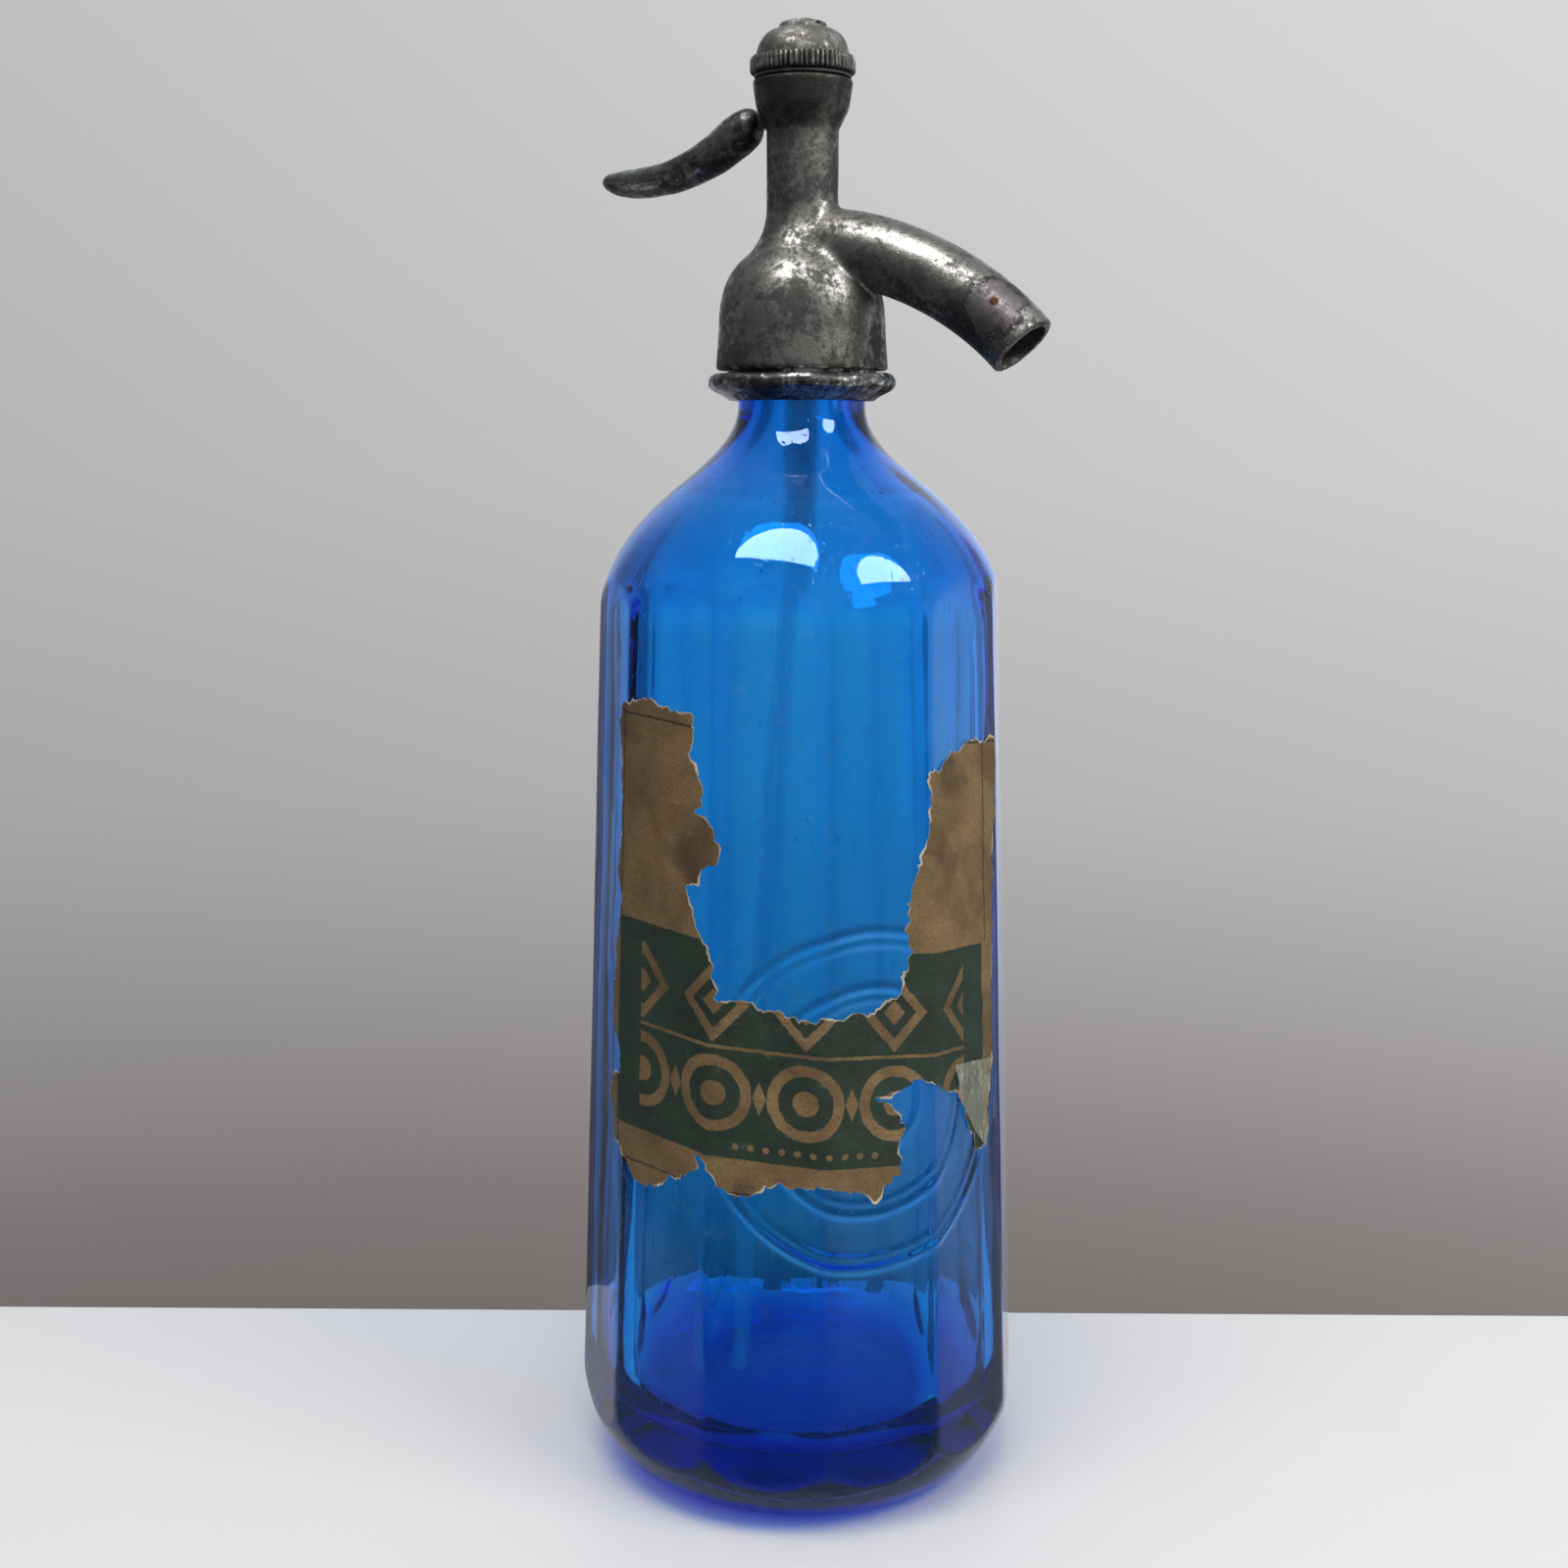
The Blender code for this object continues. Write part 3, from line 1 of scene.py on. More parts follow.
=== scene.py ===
# %% [markdown]
# # A blue glass soda siphon
# This lesson dresses a finished CAD model of an old soda siphon: a twelve-sided glass bottle with the
# remains of a paper label, under a cast pewter head with a spout and a thumb lever.
# The CAD model is loaded as a fixed frame. Pieces whose real surface is soft, torn or worn are modelled
# again over it in finer detail, and the rest only get a better material.

# %% Load the frame
import math

import bpy
import numpy as np
from mathutils import Matrix, Vector


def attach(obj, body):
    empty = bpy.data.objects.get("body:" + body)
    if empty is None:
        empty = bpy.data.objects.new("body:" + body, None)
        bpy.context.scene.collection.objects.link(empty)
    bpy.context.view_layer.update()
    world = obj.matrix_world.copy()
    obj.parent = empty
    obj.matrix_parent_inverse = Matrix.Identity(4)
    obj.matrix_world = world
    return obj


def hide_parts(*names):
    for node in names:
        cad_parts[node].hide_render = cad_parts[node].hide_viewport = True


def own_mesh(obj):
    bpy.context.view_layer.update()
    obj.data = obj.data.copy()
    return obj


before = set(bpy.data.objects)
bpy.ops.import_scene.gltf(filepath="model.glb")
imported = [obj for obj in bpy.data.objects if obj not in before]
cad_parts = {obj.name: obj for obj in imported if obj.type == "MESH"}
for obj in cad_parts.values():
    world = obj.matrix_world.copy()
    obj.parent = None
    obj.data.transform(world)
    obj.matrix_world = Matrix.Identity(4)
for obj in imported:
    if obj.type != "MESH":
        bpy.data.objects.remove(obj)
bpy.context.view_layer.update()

# %% [markdown]
# ## Camera
# The photograph was taken from a little above, slightly to the lever's side of square on. The lens and the
# place were fitted beforehand to edges of known height, so the camera is simply set there. It looks
# 10 degrees down, and a very small turn about its own line of sight levels the table as in the photograph.

# %% Set the camera
CAMERA_TURN = math.radians(28)
CAMERA_PITCH = math.radians(10.2)
CAMERA_ROLL = math.radians(0.10)
CAMERA_DISTANCE = 0.415
CAMERA_HEIGHT = 0.226
CAMERA_SHIFT = 0.0036
LENS = 44.55

camera_data = bpy.data.cameras.new("camera")
camera_data.lens = LENS
camera_data.sensor_width = 36
camera_data.clip_start = 0.01
camera = bpy.data.objects.new("camera", camera_data)
bpy.context.scene.collection.objects.link(camera)
camera_right = Vector((math.cos(CAMERA_TURN), math.sin(CAMERA_TURN), 0))
camera_back = Vector((math.sin(CAMERA_TURN), -math.cos(CAMERA_TURN), 0))
turned = Matrix.Rotation(CAMERA_TURN, 4, "Z") @ Matrix.Rotation(math.pi / 2 - CAMERA_PITCH, 4, "X")
camera.matrix_world = (
    Matrix.Translation(camera_back * CAMERA_DISTANCE + Vector((0, 0, CAMERA_HEIGHT)) - camera_right * CAMERA_SHIFT)
    @ turned @ Matrix.Rotation(CAMERA_ROLL, 4, "Z"))
bpy.context.scene.camera = camera
bpy.context.scene.view_settings.view_transform = "Standard"
print("camera at", [round(value, 3) for value in camera.matrix_world.translation])

# %% [markdown]
# ## Working by hand, in code
# Each new piece is made as it would be at the screen: a simple shape is added, edit mode extrudes or spins
# it, and modifiers are applied. An operator acts on everything that is selected, so each piece starts by
# deselecting all. These short helpers keep that habit in one place.

# %% Helpers for modelling
MERGE = 0.000002      # points closer than this become one


def pick(piece=None):
    """Back to object mode with nothing selected but this piece."""
    if bpy.context.object and bpy.context.object.mode != "OBJECT":
        bpy.ops.object.mode_set(mode="OBJECT")
    bpy.ops.object.select_all(action="DESELECT")
    if piece:
        piece.select_set(True)
        bpy.context.view_layer.objects.active = piece


def name_new(name):
    """Names the object that was just added, with its place, turn and scale worked into its mesh."""
    piece = bpy.context.object
    piece.name = piece.data.name = name
    bpy.ops.object.transform_apply(location=True, rotation=True, scale=True)
    return piece


def edit_all():
    bpy.ops.object.mode_set(mode="EDIT")
    bpy.ops.mesh.select_all(action="SELECT")


def face_outwards():
    """Turns every face outwards and leaves edit mode."""
    bpy.ops.mesh.select_all(action="SELECT")
    bpy.ops.mesh.normals_make_consistent(inside=False)
    bpy.ops.object.mode_set(mode="OBJECT")


def merge_points():
    bpy.ops.mesh.select_all(action="SELECT")
    bpy.ops.mesh.remove_doubles(threshold=MERGE)


def draw_chain(name, points):
    """Draws a line of points (radius, height) in the X-Z plane by extruding one vertex again and again."""
    pick()
    bpy.ops.mesh.primitive_plane_add(size=0.001, location=(points[0][0], 0, points[0][1]))
    chain = name_new(name)
    edit_all()
    bpy.ops.mesh.merge(type="CENTER")
    for before, after in zip(points, points[1:]):
        step = (after[0] - before[0], 0, after[1] - before[1])
        bpy.ops.mesh.extrude_region_move(TRANSFORM_OT_translate={"value": step})
    return chain


def spin_chain(chain, columns, sweep=math.tau):
    """Spins the line about the Z axis, closes its seam and poles and turns its faces outwards."""
    bpy.ops.mesh.select_all(action="SELECT")
    bpy.ops.mesh.spin(steps=columns, angle=sweep, center=(0, 0, 0), axis=(0, 0, 1))
    merge_points()
    face_outwards()
    return chain


def sweep_rings(name, stations, sides):
    """Adds a disc at the first station and extrudes it on through the others.

    Each station: centre, direction, radius across, radius upright. The route lies in the X-Z plane.
    """
    pick()
    centre, along, across, upright = stations[0]
    lean = math.atan2(-along.x, -along.z)
    bpy.ops.mesh.primitive_circle_add(vertices=sides, radius=1, fill_type="NGON", location=centre,
                                      rotation=(math.pi, lean, 0))
    bpy.context.object.scale = (upright, across, 1)
    piece = name_new(name)
    edit_all()
    for before, after in zip(stations, stations[1:]):
        bpy.ops.mesh.extrude_region_move(TRANSFORM_OT_translate={"value": after[0] - before[0]})
        turn = before[1].rotation_difference(after[1])
        middle, grow = after[0], after[3] / before[3]
        bpy.ops.transform.resize(value=(1, after[2] / before[2], 1), center_override=middle)
        bpy.ops.transform.resize(value=(grow, 1, grow), center_override=middle)
        angle = turn.angle if turn.axis.y > 0 else -turn.angle
        if abs(angle) > 0.00001:
            bpy.ops.transform.rotate(value=-angle, orient_axis="Y", orient_type="GLOBAL", center_override=middle)
    face_outwards()
    return piece


def add_block(name, low, high):
    """A box between two corners."""
    pick()
    low, high = Vector(low), Vector(high)
    bpy.ops.mesh.primitive_cube_add(size=1, location=(low + high) / 2)
    bpy.context.object.scale = high - low
    return name_new(name)


def turn_about_axis(piece, degrees):
    """Turns a piece about the Z axis and works the turn into its mesh."""
    pick(piece)
    bpy.ops.transform.rotate(value=math.radians(degrees), orient_axis="Z", center_override=(0, 0, 0))
    bpy.ops.object.transform_apply(location=True, rotation=True, scale=True)


def use_modifier(piece, kind, **settings):
    """Adds a modifier and applies it at once."""
    pick(piece)
    step = piece.modifiers.new("step", kind)
    for key, value in settings.items():
        setattr(step, key, value)
    bpy.ops.object.modifier_apply(modifier=step.name)


def combine(piece, tool, operation):
    """Joins or cuts a piece with a tool shape, and throws the tool away."""
    use_modifier(piece, "BOOLEAN", object=tool, operation=operation, solver="EXACT")
    bpy.data.objects.remove(tool)


# %% Helpers for vertices and curves
def points_of(piece):
    """The piece's vertices as a table of X, Y and Z."""
    table = np.zeros(len(piece.data.vertices) * 3)
    piece.data.vertices.foreach_get("co", table)
    return table.reshape(-1, 3)


def move_points(piece, table):
    """Puts the vertices where the table says."""
    piece.data.vertices.foreach_set("co", np.ascontiguousarray(table, dtype=float).ravel())
    piece.data.update()


def round_of(table):
    """Each vertex's radius and angle about the Z axis."""
    return np.hypot(table[:, 0], table[:, 1]), np.arctan2(table[:, 1], table[:, 0])


def set_round(table, radius, angle):
    """Sets X and Y in the table from a radius and an angle about the Z axis."""
    table[:, 0], table[:, 1] = radius * np.cos(angle), radius * np.sin(angle)


def turn_from(angle, start, step=math.tau):
    """How far an angle lies from the nearest of some evenly spaced ones, with its sign."""
    return (angle - start + step / 2) % step - step / 2


def settle(piece, finish, slot, *nodes, sharp, body="bottle_and_head"):
    """Shades the finished piece, gives it its finish and its body, and hides the CAD nodes that it replaces."""
    pick(piece)
    bpy.ops.object.shade_smooth_by_angle(angle=math.radians(sharp))
    piece.data.materials.clear()
    piece.data.materials.append(finish)
    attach(piece, body)
    if nodes:
        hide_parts(*nodes)
    corners = len(piece.data.loops) - 2 * len(piece.data.polygons)
    print(piece.name, "has", corners, "triangles")


def arc(centre, size, first, last, count):
    """Points along a piece of an ellipse, from one angle in degrees to another."""
    return [(centre[0] + size[0] * math.cos(a), centre[1] + size[1] * math.sin(a))
            for a in np.radians(np.linspace(first, last, count))]


def bezier(corners, steps):
    """Points along a cubic curve with four corners."""
    points = []
    for step in range(steps + 1):
        t = step / steps
        s = 1 - t
        weights = (s * s * s, 3 * s * s * t, 3 * s * t * t, t * t * t)
        points.append(tuple(sum(w * c[axis] for w, c in zip(weights, corners)) for axis in (0, 1)))
    return points


def soft_min(first, second, softness):
    """The smaller of two values, with a rounded change-over."""
    share = np.clip(0.5 + 0.5 * (second - first) / softness, 0, 1)
    return second * (1 - share) + first * share - softness * share * (1 - share)


def ripple(x, y, seed, size):
    """A smooth, repeatable unevenness from -1 to 1, made of a few crossing waves."""
    spread = np.random.default_rng(seed)
    total = np.zeros(np.broadcast(x, y).shape)
    for _ in range(7):
        heading = spread.uniform(0, math.tau)
        length = size * spread.uniform(0.6, 1.6)
        phase = spread.uniform(0, math.tau)
        total = total + np.sin((x * math.cos(heading) + y * math.sin(heading)) * math.tau / length + phase)
    return total / 4


print("helpers ready")

# %% [markdown]
# ## Table and room
# The siphon stands on a white table in front of a pale grey wall. The table is a plain slab with a rounded
# edge: a cube, scaled and bevelled. A real wall would hide the siphon from behind, so the wall is the world's
# colour instead: a soft gradient by height that cameras, reflections and refractions see, while everything
# else gets an even pale fill.

# %% Make the table
TABLE_BACK = 0.0655
TABLE_SIZE = (1.7, 0.95, 0.024)


def make_table():
    pick()
    bpy.ops.mesh.primitive_cube_add(size=1, location=(0, TABLE_BACK - TABLE_SIZE[1] / 2, -TABLE_SIZE[2] / 2))
    bpy.context.object.scale = TABLE_SIZE
    table = name_new("table")
    use_modifier(table, "BEVEL", width=0.006, segments=6)
    table.rotation_euler = (0, 0, CAMERA_TURN - math.radians(0.55))
    bpy.ops.object.transform_apply(location=True, rotation=True, scale=True)
    bpy.ops.object.shade_smooth_by_angle(angle=math.radians(40))
    return table


table = make_table()
print("table top at", round(max(vertex.co.z for vertex in table.data.vertices), 5))

# %% [markdown]
# ## Small tools for finishes
# A finish is a material made of nodes. Each call below adds one node and gives back its output as a pattern,
# and patterns can be added and multiplied like numbers, which adds Math nodes. So each recipe further down
# reads from top to bottom: patterns first, then colour, roughness and bump.

# %% Helpers for finishes
def tone(red, green, blue):
    """A colour as a screen shows it, 0 to 255, turned into the linear values that nodes use."""
    parts = [value / 255 for value in (red, green, blue)]
    return (*[part / 12.92 if part <= 0.04045 else ((part + 0.055) / 1.055) ** 2.4 for part in parts], 1.0)


class Pattern:
    """A node's output, which can be added, multiplied and levelled as if it were a number."""

    def __init__(self, recipe, socket):
        self.recipe, self.socket = recipe, socket

    def __add__(self, other):
        return self.recipe.math("ADD", self, other)

    def __sub__(self, other):
        return self.recipe.math("SUBTRACT", self, other)

    def __rsub__(self, other):
        return self.recipe.math("SUBTRACT", other, self)

    def __mul__(self, other):
        return self.recipe.math("MULTIPLY", self, other)

    def __truediv__(self, other):
        return self.recipe.math("DIVIDE", self, other)

    def __abs__(self):
        return self.recipe.math("ABSOLUTE", self)

    def level(self, low, high, to_low=0, to_high=1, kind="SMOOTHSTEP"):
        """Maps one span of values to another, softly at both ends."""
        sockets = {"Value": self, "From Min": low, "From Max": high, "To Min": to_low, "To Max": to_high}
        return self.recipe.node("ShaderNodeMapRange", sockets, "Result", interpolation_type=kind)

    def straight(self, low, high, to_low, to_high):
        return self.level(low, high, to_low, to_high, "LINEAR")

    def within(self, low, high, soft=0.15):
        """1 between two limits, with soft edges."""
        return self.level(low - soft, low + soft) * self.level(high - soft, high + soft, 1, 0)


class Recipe:
    """The nodes of a material, lamp or world, with short calls that add to them."""

    def __init__(self, owner):
        owner.use_nodes = True
        self.tree = owner.node_tree

    def node(self, kind, sockets=None, output=0, **settings):
        """Adds a node, feeds its inputs and gives back one of its outputs."""
        item = self.tree.nodes.new(kind)
        for key, value in settings.items():
            setattr(item, key, value)
        for key, value in (sockets or {}).items():
            self.feed(item.inputs[key], value)
        return Pattern(self, item.outputs[output])

    def feed(self, socket, value):
        if isinstance(value, Pattern):
            self.tree.links.new(value.socket, socket)
        else:
            socket.default_value = value

    def serve(self, node, **sockets):
        """Feeds several inputs of a node that is already there."""
        for key, value in sockets.items():
            self.feed(self.tree.nodes[node].inputs[key.replace("_", " ")], value)

    def ray(self, name):
        return self.node("ShaderNodeLightPath", output=name)

    def math(self, operation, first, second=0.0, third=0.0):
        return self.node("ShaderNodeMath", {0: first, 1: second, 2: third}, operation=operation)

    def vector(self, operation, first, second=(0, 0, 0), output="Value"):
        return self.node("ShaderNodeVectorMath", {0: first, 1: second}, output, operation=operation)

    def most(self, first, *others):
        """The greatest of several patterns at each point."""
        for other in others:
            first = self.math("MAXIMUM", first, other)
        return first

    def blend(self, share, first, second, kind="MIX"):
        return self.node("ShaderNodeMix", {0: share, 6: first, 7: second}, 2, data_type="RGBA", blend_type=kind)

    def coat(self, colour, *layers):
        """Lays further colours over the first one, each by its share."""
        for share, over in layers:
            colour = self.blend(share, colour, over)
        return colour

    def length(self, first, second):
        return self.math("SQRT", self.math("POWER", first, 2.0) + self.math("POWER", second, 2.0))

    def mix(self, share, first, second):
        return self.node("ShaderNodeMixShader", {0: share, 1: first, 2: second})


class Finish(Recipe):
    """A material's recipe, with the patterns that a surface needs."""

    def __init__(self, name, place="Object"):
        self.material = bpy.data.materials.new(name)
        super().__init__(self.material)
        self.place = self.node("ShaderNodeTexCoord", output=place)

    def set(self, **sockets):
        self.serve("Principled BSDF", **sockets)

    def noise(self, scale, detail=3.0, roughness=0.5, distortion=0.0, place=None):
        sockets = {"Vector": place or self.place, "Scale": scale, "Detail": detail, "Roughness": roughness,
                   "Distortion": distortion}
        return self.node("ShaderNodeTexNoise", sockets, "Fac")

    def cells(self, scale):
        return self.node("ShaderNodeTexVoronoi", {"Vector": self.place, "Scale": scale}, "Distance")

    def stretched(self, scale, turn=(0, 0, 0)):
        return self.node("ShaderNodeMapping", {"Vector": self.place, "Scale": scale, "Rotation": turn}, "Vector")

    def axis(self, index):
        """X, Y or Z of the place, by its index."""
        return self.node("ShaderNodeSeparateXYZ", {"Vector": self.place}, index)

    def near(self, point, inner, outer):
        """1 at a point, falling to 0 between two distances."""
        return self.vector("DISTANCE", self.place, point).level(inner, outer, 1, 0)

    def bump(self, height, distance, strength=1.0, under=None):
        sockets = {"Height": height, "Distance": distance, "Strength": strength}
        if under:
            sockets["Normal"] = under
        return self.node("ShaderNodeBump", sockets, "Normal")


print("finish helpers ready")

# %% [markdown]
# ## White table top
# A plain painted board: nearly white, a little uneven in gloss, with a very fine orange-peel bump. The
# photograph's glass foot is a clear navy, and a white table mirrored in it would turn it grey. So rays that
# come from shiny skins see the table's front part dark.

# %% Paint the table
def paint_table():
    paint = Finish("white_table_paint")
    # Painted shade: for glossy rays the table's front part is painted dark. It stands in for the shade before the
    # table that the glass foot mirrors.
    front = paint.ray("Is Glossy Ray") * paint.axis(1).level(-0.18, -0.10, 0.9, 0)
    white = paint.blend(paint.noise(6, 2), tone(228, 228, 228), tone(234, 234, 234))
    paint.set(Base_Color=paint.blend(front, white, tone(36, 38, 44)),
              Roughness=paint.noise(40, 2).level(0.3, 0.7, 0.42, 0.52), Specular_IOR_Level=0.35,
              Normal=paint.bump(paint.noise(900, 2), 0.00004, 0.4))
    return paint.material


table.data.materials.append(paint_table())
print("table painted")

# %% [markdown]
# ## Wall and lamps
# The wall's colour is a ramp over how steeply one looks up or down, a little brighter to the right. What glass
# and metal mirror and bend is the rest of the room: dark behind the camera, overhead and far to the left, with
# a bright window to the right. These dark places make the navy lines along the bottle's corners. Light that
# has already bounced off something dull gets the plain fill, so the table isn't flooded with blue.
# Two soft lamps stand where the glints on the shoulder point back to: one high overhead, one lower to the
# right. They were found by mirroring the line of sight in the glass. Each has a twin, a bright half-moon that
# only shiny skins mirror, because the photograph's glints are half-moons. A twin gives no light by way of a
# dull surface, or it would spread bright speckles.

# %% Set the room and the lamps
WALL_STOPS = ((0.0, tone(104, 98, 97)), (0.28, tone(114, 108, 106)), (0.315, tone(130, 125, 124)),
              (0.36, tone(156, 153, 153)), (0.41, tone(178, 176, 177)), (0.49, tone(194, 194, 195)),
              (0.60, tone(204, 204, 206)), (1.0, tone(206, 207, 209)))


class Room(Recipe):
    """The world's recipe."""

    def __init__(self):
        world = bpy.data.worlds.new("room")
        bpy.context.scene.world = world
        super().__init__(world)
        self.place = self.node("ShaderNodeTexCoord", output="Generated")

    def towards(self, direction):
        """How far the line of sight points in a direction, from -1 to 1."""
        return self.vector("DOT_PRODUCT", self.place, tuple(direction))

    def glow(self, colour, strength=1.0):
        return self.node("ShaderNodeBackground", {"Color": colour, "Strength": strength})


def set_room():
    room = Room()
    up, right, ahead = room.towards((0, 0, 1)), room.towards(camera_right), room.towards(-camera_back)
    heights = room.node("ShaderNodeValToRGB", {"Fac": up.straight(-1, 1, 0, 1)}, "Color")
    stops = heights.socket.node.color_ramp.elements
    for index, (share, colour) in enumerate(WALL_STOPS):
        stop = stops[index] if index < 2 else stops.new(share)
        stop.position, stop.color = share, colour
    wall = room.blend(1.0, heights, right.straight(-0.6, 0.6, 0.78, 1.24), "MULTIPLY")
    dark = (ahead.level(-0.35, 0.62, 0.30, 1) * up.level(0.45, 0.85, 1, 0.50)
            * right.level(-0.70, -0.42, 0.48, 1) * right.level(0.42, 0.62, 1, 0.45))
    around = room.blend(1.0, room.blend(1.0, wall, dark, "MULTIPLY"), (0.90, 0.98, 1.06, 1.0), "MULTIPLY")
    window = right.level(0.80, 0.93) * up.level(-0.25, 0.6, 1, 0) * 0.85
    around = room.blend(window, around, (0.95, 0.98, 1.0, 1.0))
    bent = room.most(room.ray("Is Glossy Ray"), room.ray("Is Transmission Ray"))
    bent = bent * room.math("LESS_THAN", room.ray("Diffuse Depth"), 0.5)
    lit = room.mix(bent, room.glow((1.0, 0.99, 0.965, 1.0), 0.48), room.glow(around, 1.42))
    room.serve("World Output", Surface=room.mix(room.ray("Is Camera Ray"), lit, room.glow(wall)))


def shape_half_moon(data):
    """Lets a lamp shine only inside a half circle, and never by way of something dull."""
    moon = Recipe(data)
    place = moon.node("ShaderNodeNewGeometry", output="Parametric")
    place = moon.node("ShaderNodeMapping", {"Vector": place, "Scale": (2.0, 1.0, 0.0), "Location": (-1.0, 0.0, 0.0)})
    inside = moon.math("LESS_THAN", moon.vector("LENGTH", place), 1.0)
    moon.serve("Emission", Strength=inside * moon.math("LESS_THAN", moon.ray("Diffuse Depth"), 0.5))


def add_lamp(name, turn, rise, distance, size, plain, glint):
    """A soft lamp that faces the siphon's shoulder, and just before it the half-moon that shiny skins mirror."""
    turn, rise = math.radians(turn), math.radians(rise)
    away = Vector((math.sin(turn) * math.cos(rise), -math.cos(turn) * math.cos(rise), math.sin(rise)))
    for shiny, strength in ((False, plain), (True, glint)):
        data = bpy.data.lights.new(name + ("_glint" if shiny else ""), "AREA")
        data.shape = "RECTANGLE"
        data.size, data.size_y = size
        data.energy = strength * math.pi * size[0] * size[1]
        lamp = bpy.data.objects.new(data.name, data)
        bpy.context.scene.collection.objects.link(lamp)
        lamp.location = Vector((0, 0, 0.2)) + away * (distance - 0.02 * shiny)
        lamp.rotation_euler = away.to_track_quat("Z", "Y").to_euler()
        lamp.visible_glossy = lamp.visible_transmission = shiny
        lamp.visible_diffuse = not shiny
        if shiny:
            shape_half_moon(data)


set_room()
add_lamp("lamp_overhead", 5, 68, 0.95, (0.66, 0.36), 7.0, 24.0)
add_lamp("lamp_right", 84, 43, 0.95, (0.46, 0.34), 7.0, 24.0)

# %% [markdown]
# ## Blue glass
# The real bottle is cobalt glass: nearly clear where it is thin and navy where one looks along a wall or
# through the thick foot. A Volume Absorption node gives exactly that, since it counts the distance in the
# glass. The skin itself is almost white: clear transmission, a little dust, fine scratches, tiny pits, dark
# curled specks and, on the foot, pale bruises. Its mirrored light is tinted blue, most of all at the foot.
# Glass would cast a black shadow, so for shadow rays alone it turns into a blue Transparent shader.

# %% Mix the blue glass
def mix_blue_glass():
    glass = Finish("cobalt_glass")
    height = glass.axis(2)
    dust = glass.noise(420, 4, 0.7).level(0.52, 0.74) * glass.noise(28, 3).level(0.38, 0.66)
    smear = glass.noise(9, 4, 0.6, 0.8).level(0.35, 0.75)
    scratch = glass.noise(900, 2, place=glass.stretched((1.0, 1.0, 0.05), (0.25, 0.1, 0))).level(0.66, 0.74)
    pits = glass.cells(240).level(0, 0.09, 1, 0) * glass.noise(60, 2).level(0.5, 0.62)
    foot = height.level(0.012, 0.030, 1, 0) * height.level(0.003, 0.006)
    bruise = glass.noise(95, 2, 0.4).level(0.62, 0.72) * foot
    chips = glass.noise(700, 4, 0.65).level(0.60, 0.68) * bruise
    curl = abs(glass.noise(1300, 1) - 0.5).level(0.008, 0.022, 1, 0)
    speck = curl * glass.cells(120).level(0.13, 0.17, 1, 0) * glass.noise(34, 2).level(0.50, 0.56)
    skin = glass.bump(glass.noise(38, 2, 0.45), 0.0011, 0.30)
    skin = glass.bump(pits + scratch * 0.25, 0.00012, 0.9, skin)
    skin = glass.bump(chips, 0.0002, 0.7, skin)
    tint = glass.blend(height.level(0.030, 0.100), (0.10, 0.34, 0.85, 1.0), (0.42, 0.60, 1.0, 1.0))
    glass.set(Base_Color=(0.93, 0.97, 1.0, 1.0), Roughness=smear.straight(0, 1, 0.004, 0.045) + chips * 0.25,
              Normal=skin, Transmission_Weight=1.0, IOR=1.5, Specular_Tint=tint)
    dirt = dust * 0.12 + scratch * 0.05 + smear.straight(0, 1, 0.010, 0.042)
    dirt = glass.most(dirt * height.level(0.020, 0.060, 0.2, 1) + chips * 0.45, speck * 0.85)
    film = glass.node("ShaderNodeBsdfDiffuse", {"Color": glass.blend(speck, tone(128, 164, 205), tone(8, 18, 40)),
                                                "Roughness": 0.9})
    clean = Pattern(glass, glass.tree.nodes["Principled BSDF"].outputs[0])
    through = glass.node("ShaderNodeBsdfTransparent", {"Color": (0.74, 0.92, 1.0, 1.0)})
    depth = glass.node("ShaderNodeVolumeAbsorption", {"Color": (0.0, 0.742, 0.955, 1.0), "Density": 434})
    glass.serve("Material Output", Volume=depth,
                Surface=glass.mix(glass.ray("Is Shadow Ray"), glass.mix(dirt, clean, film), through))
    return glass.material


cobalt_glass = mix_blue_glass()
print("glass recipe has", len(cobalt_glass.node_tree.nodes), "nodes")

# %% [markdown]
# ## Bottle
# The real bottle was blown into a mould: round shoulder, twelve flat facets with arched tops, a round heel
# with a scallop under each facet, and a raised roundel on the front. The glass is thickest in the neck, whose
# bore is only half as wide as it looks: the glass round it magnifies it. A lathe shape gives all that is round.
# Half the outline, outside and inside, is drawn by extruding a single vertex and is spun about the axis.
# Facets, soft corners and raised rings then come from moving the vertices in code: each outer point takes
# the smaller of the round profile and the flat facet, with a rounded change-over.

# %% Sizes of the bottle
FOOT_RADIUS, TOP_RADIUS = 0.0489, 0.0431      # over the facet corners
WRAP_RADIUS = (FOOT_RADIUS + TOP_RADIUS) / 2
BLANK_FOOT, BLANK_TOP = 0.0493, 0.0435        # the round body, before its flats
INNER_FOOT, INNER_TOP, INNER_HEEL = (0.04273, 0.028), (0.03713, 0.184), 0.014
HEEL_HEIGHT, HEEL_WIDTH = 0.0225, 0.0158
BODY_TOP, NECK_FOOT = 0.184, 0.232
NECK_RADIUS, NECK_BORE, THROAT, LIP_RADIUS = 0.0134, 0.0095, 0.0066, 0.0153
FACET_STEP = math.radians(30)
FACET_TURN = math.radians(4)
ROUNDEL_TURN, ROUNDEL_HEIGHT = math.radians(-44), 0.094
ROUNDEL_RINGS = ((0.0350, 0.00042, 0.0008), (0.0325, 0.00022, 0.0006), (0.0236, 0.00040, 0.0008),
                 (0.0212, 0.00020, 0.0006), (0.0110, 0.00026, 0.0007))


def corner_radius(height):
    """Radius over the facet corners at a height."""
    return FOOT_RADIUS + (TOP_RADIUS - FOOT_RADIUS) * (height - HEEL_HEIGHT) / (BODY_TOP - HEEL_HEIGHT)


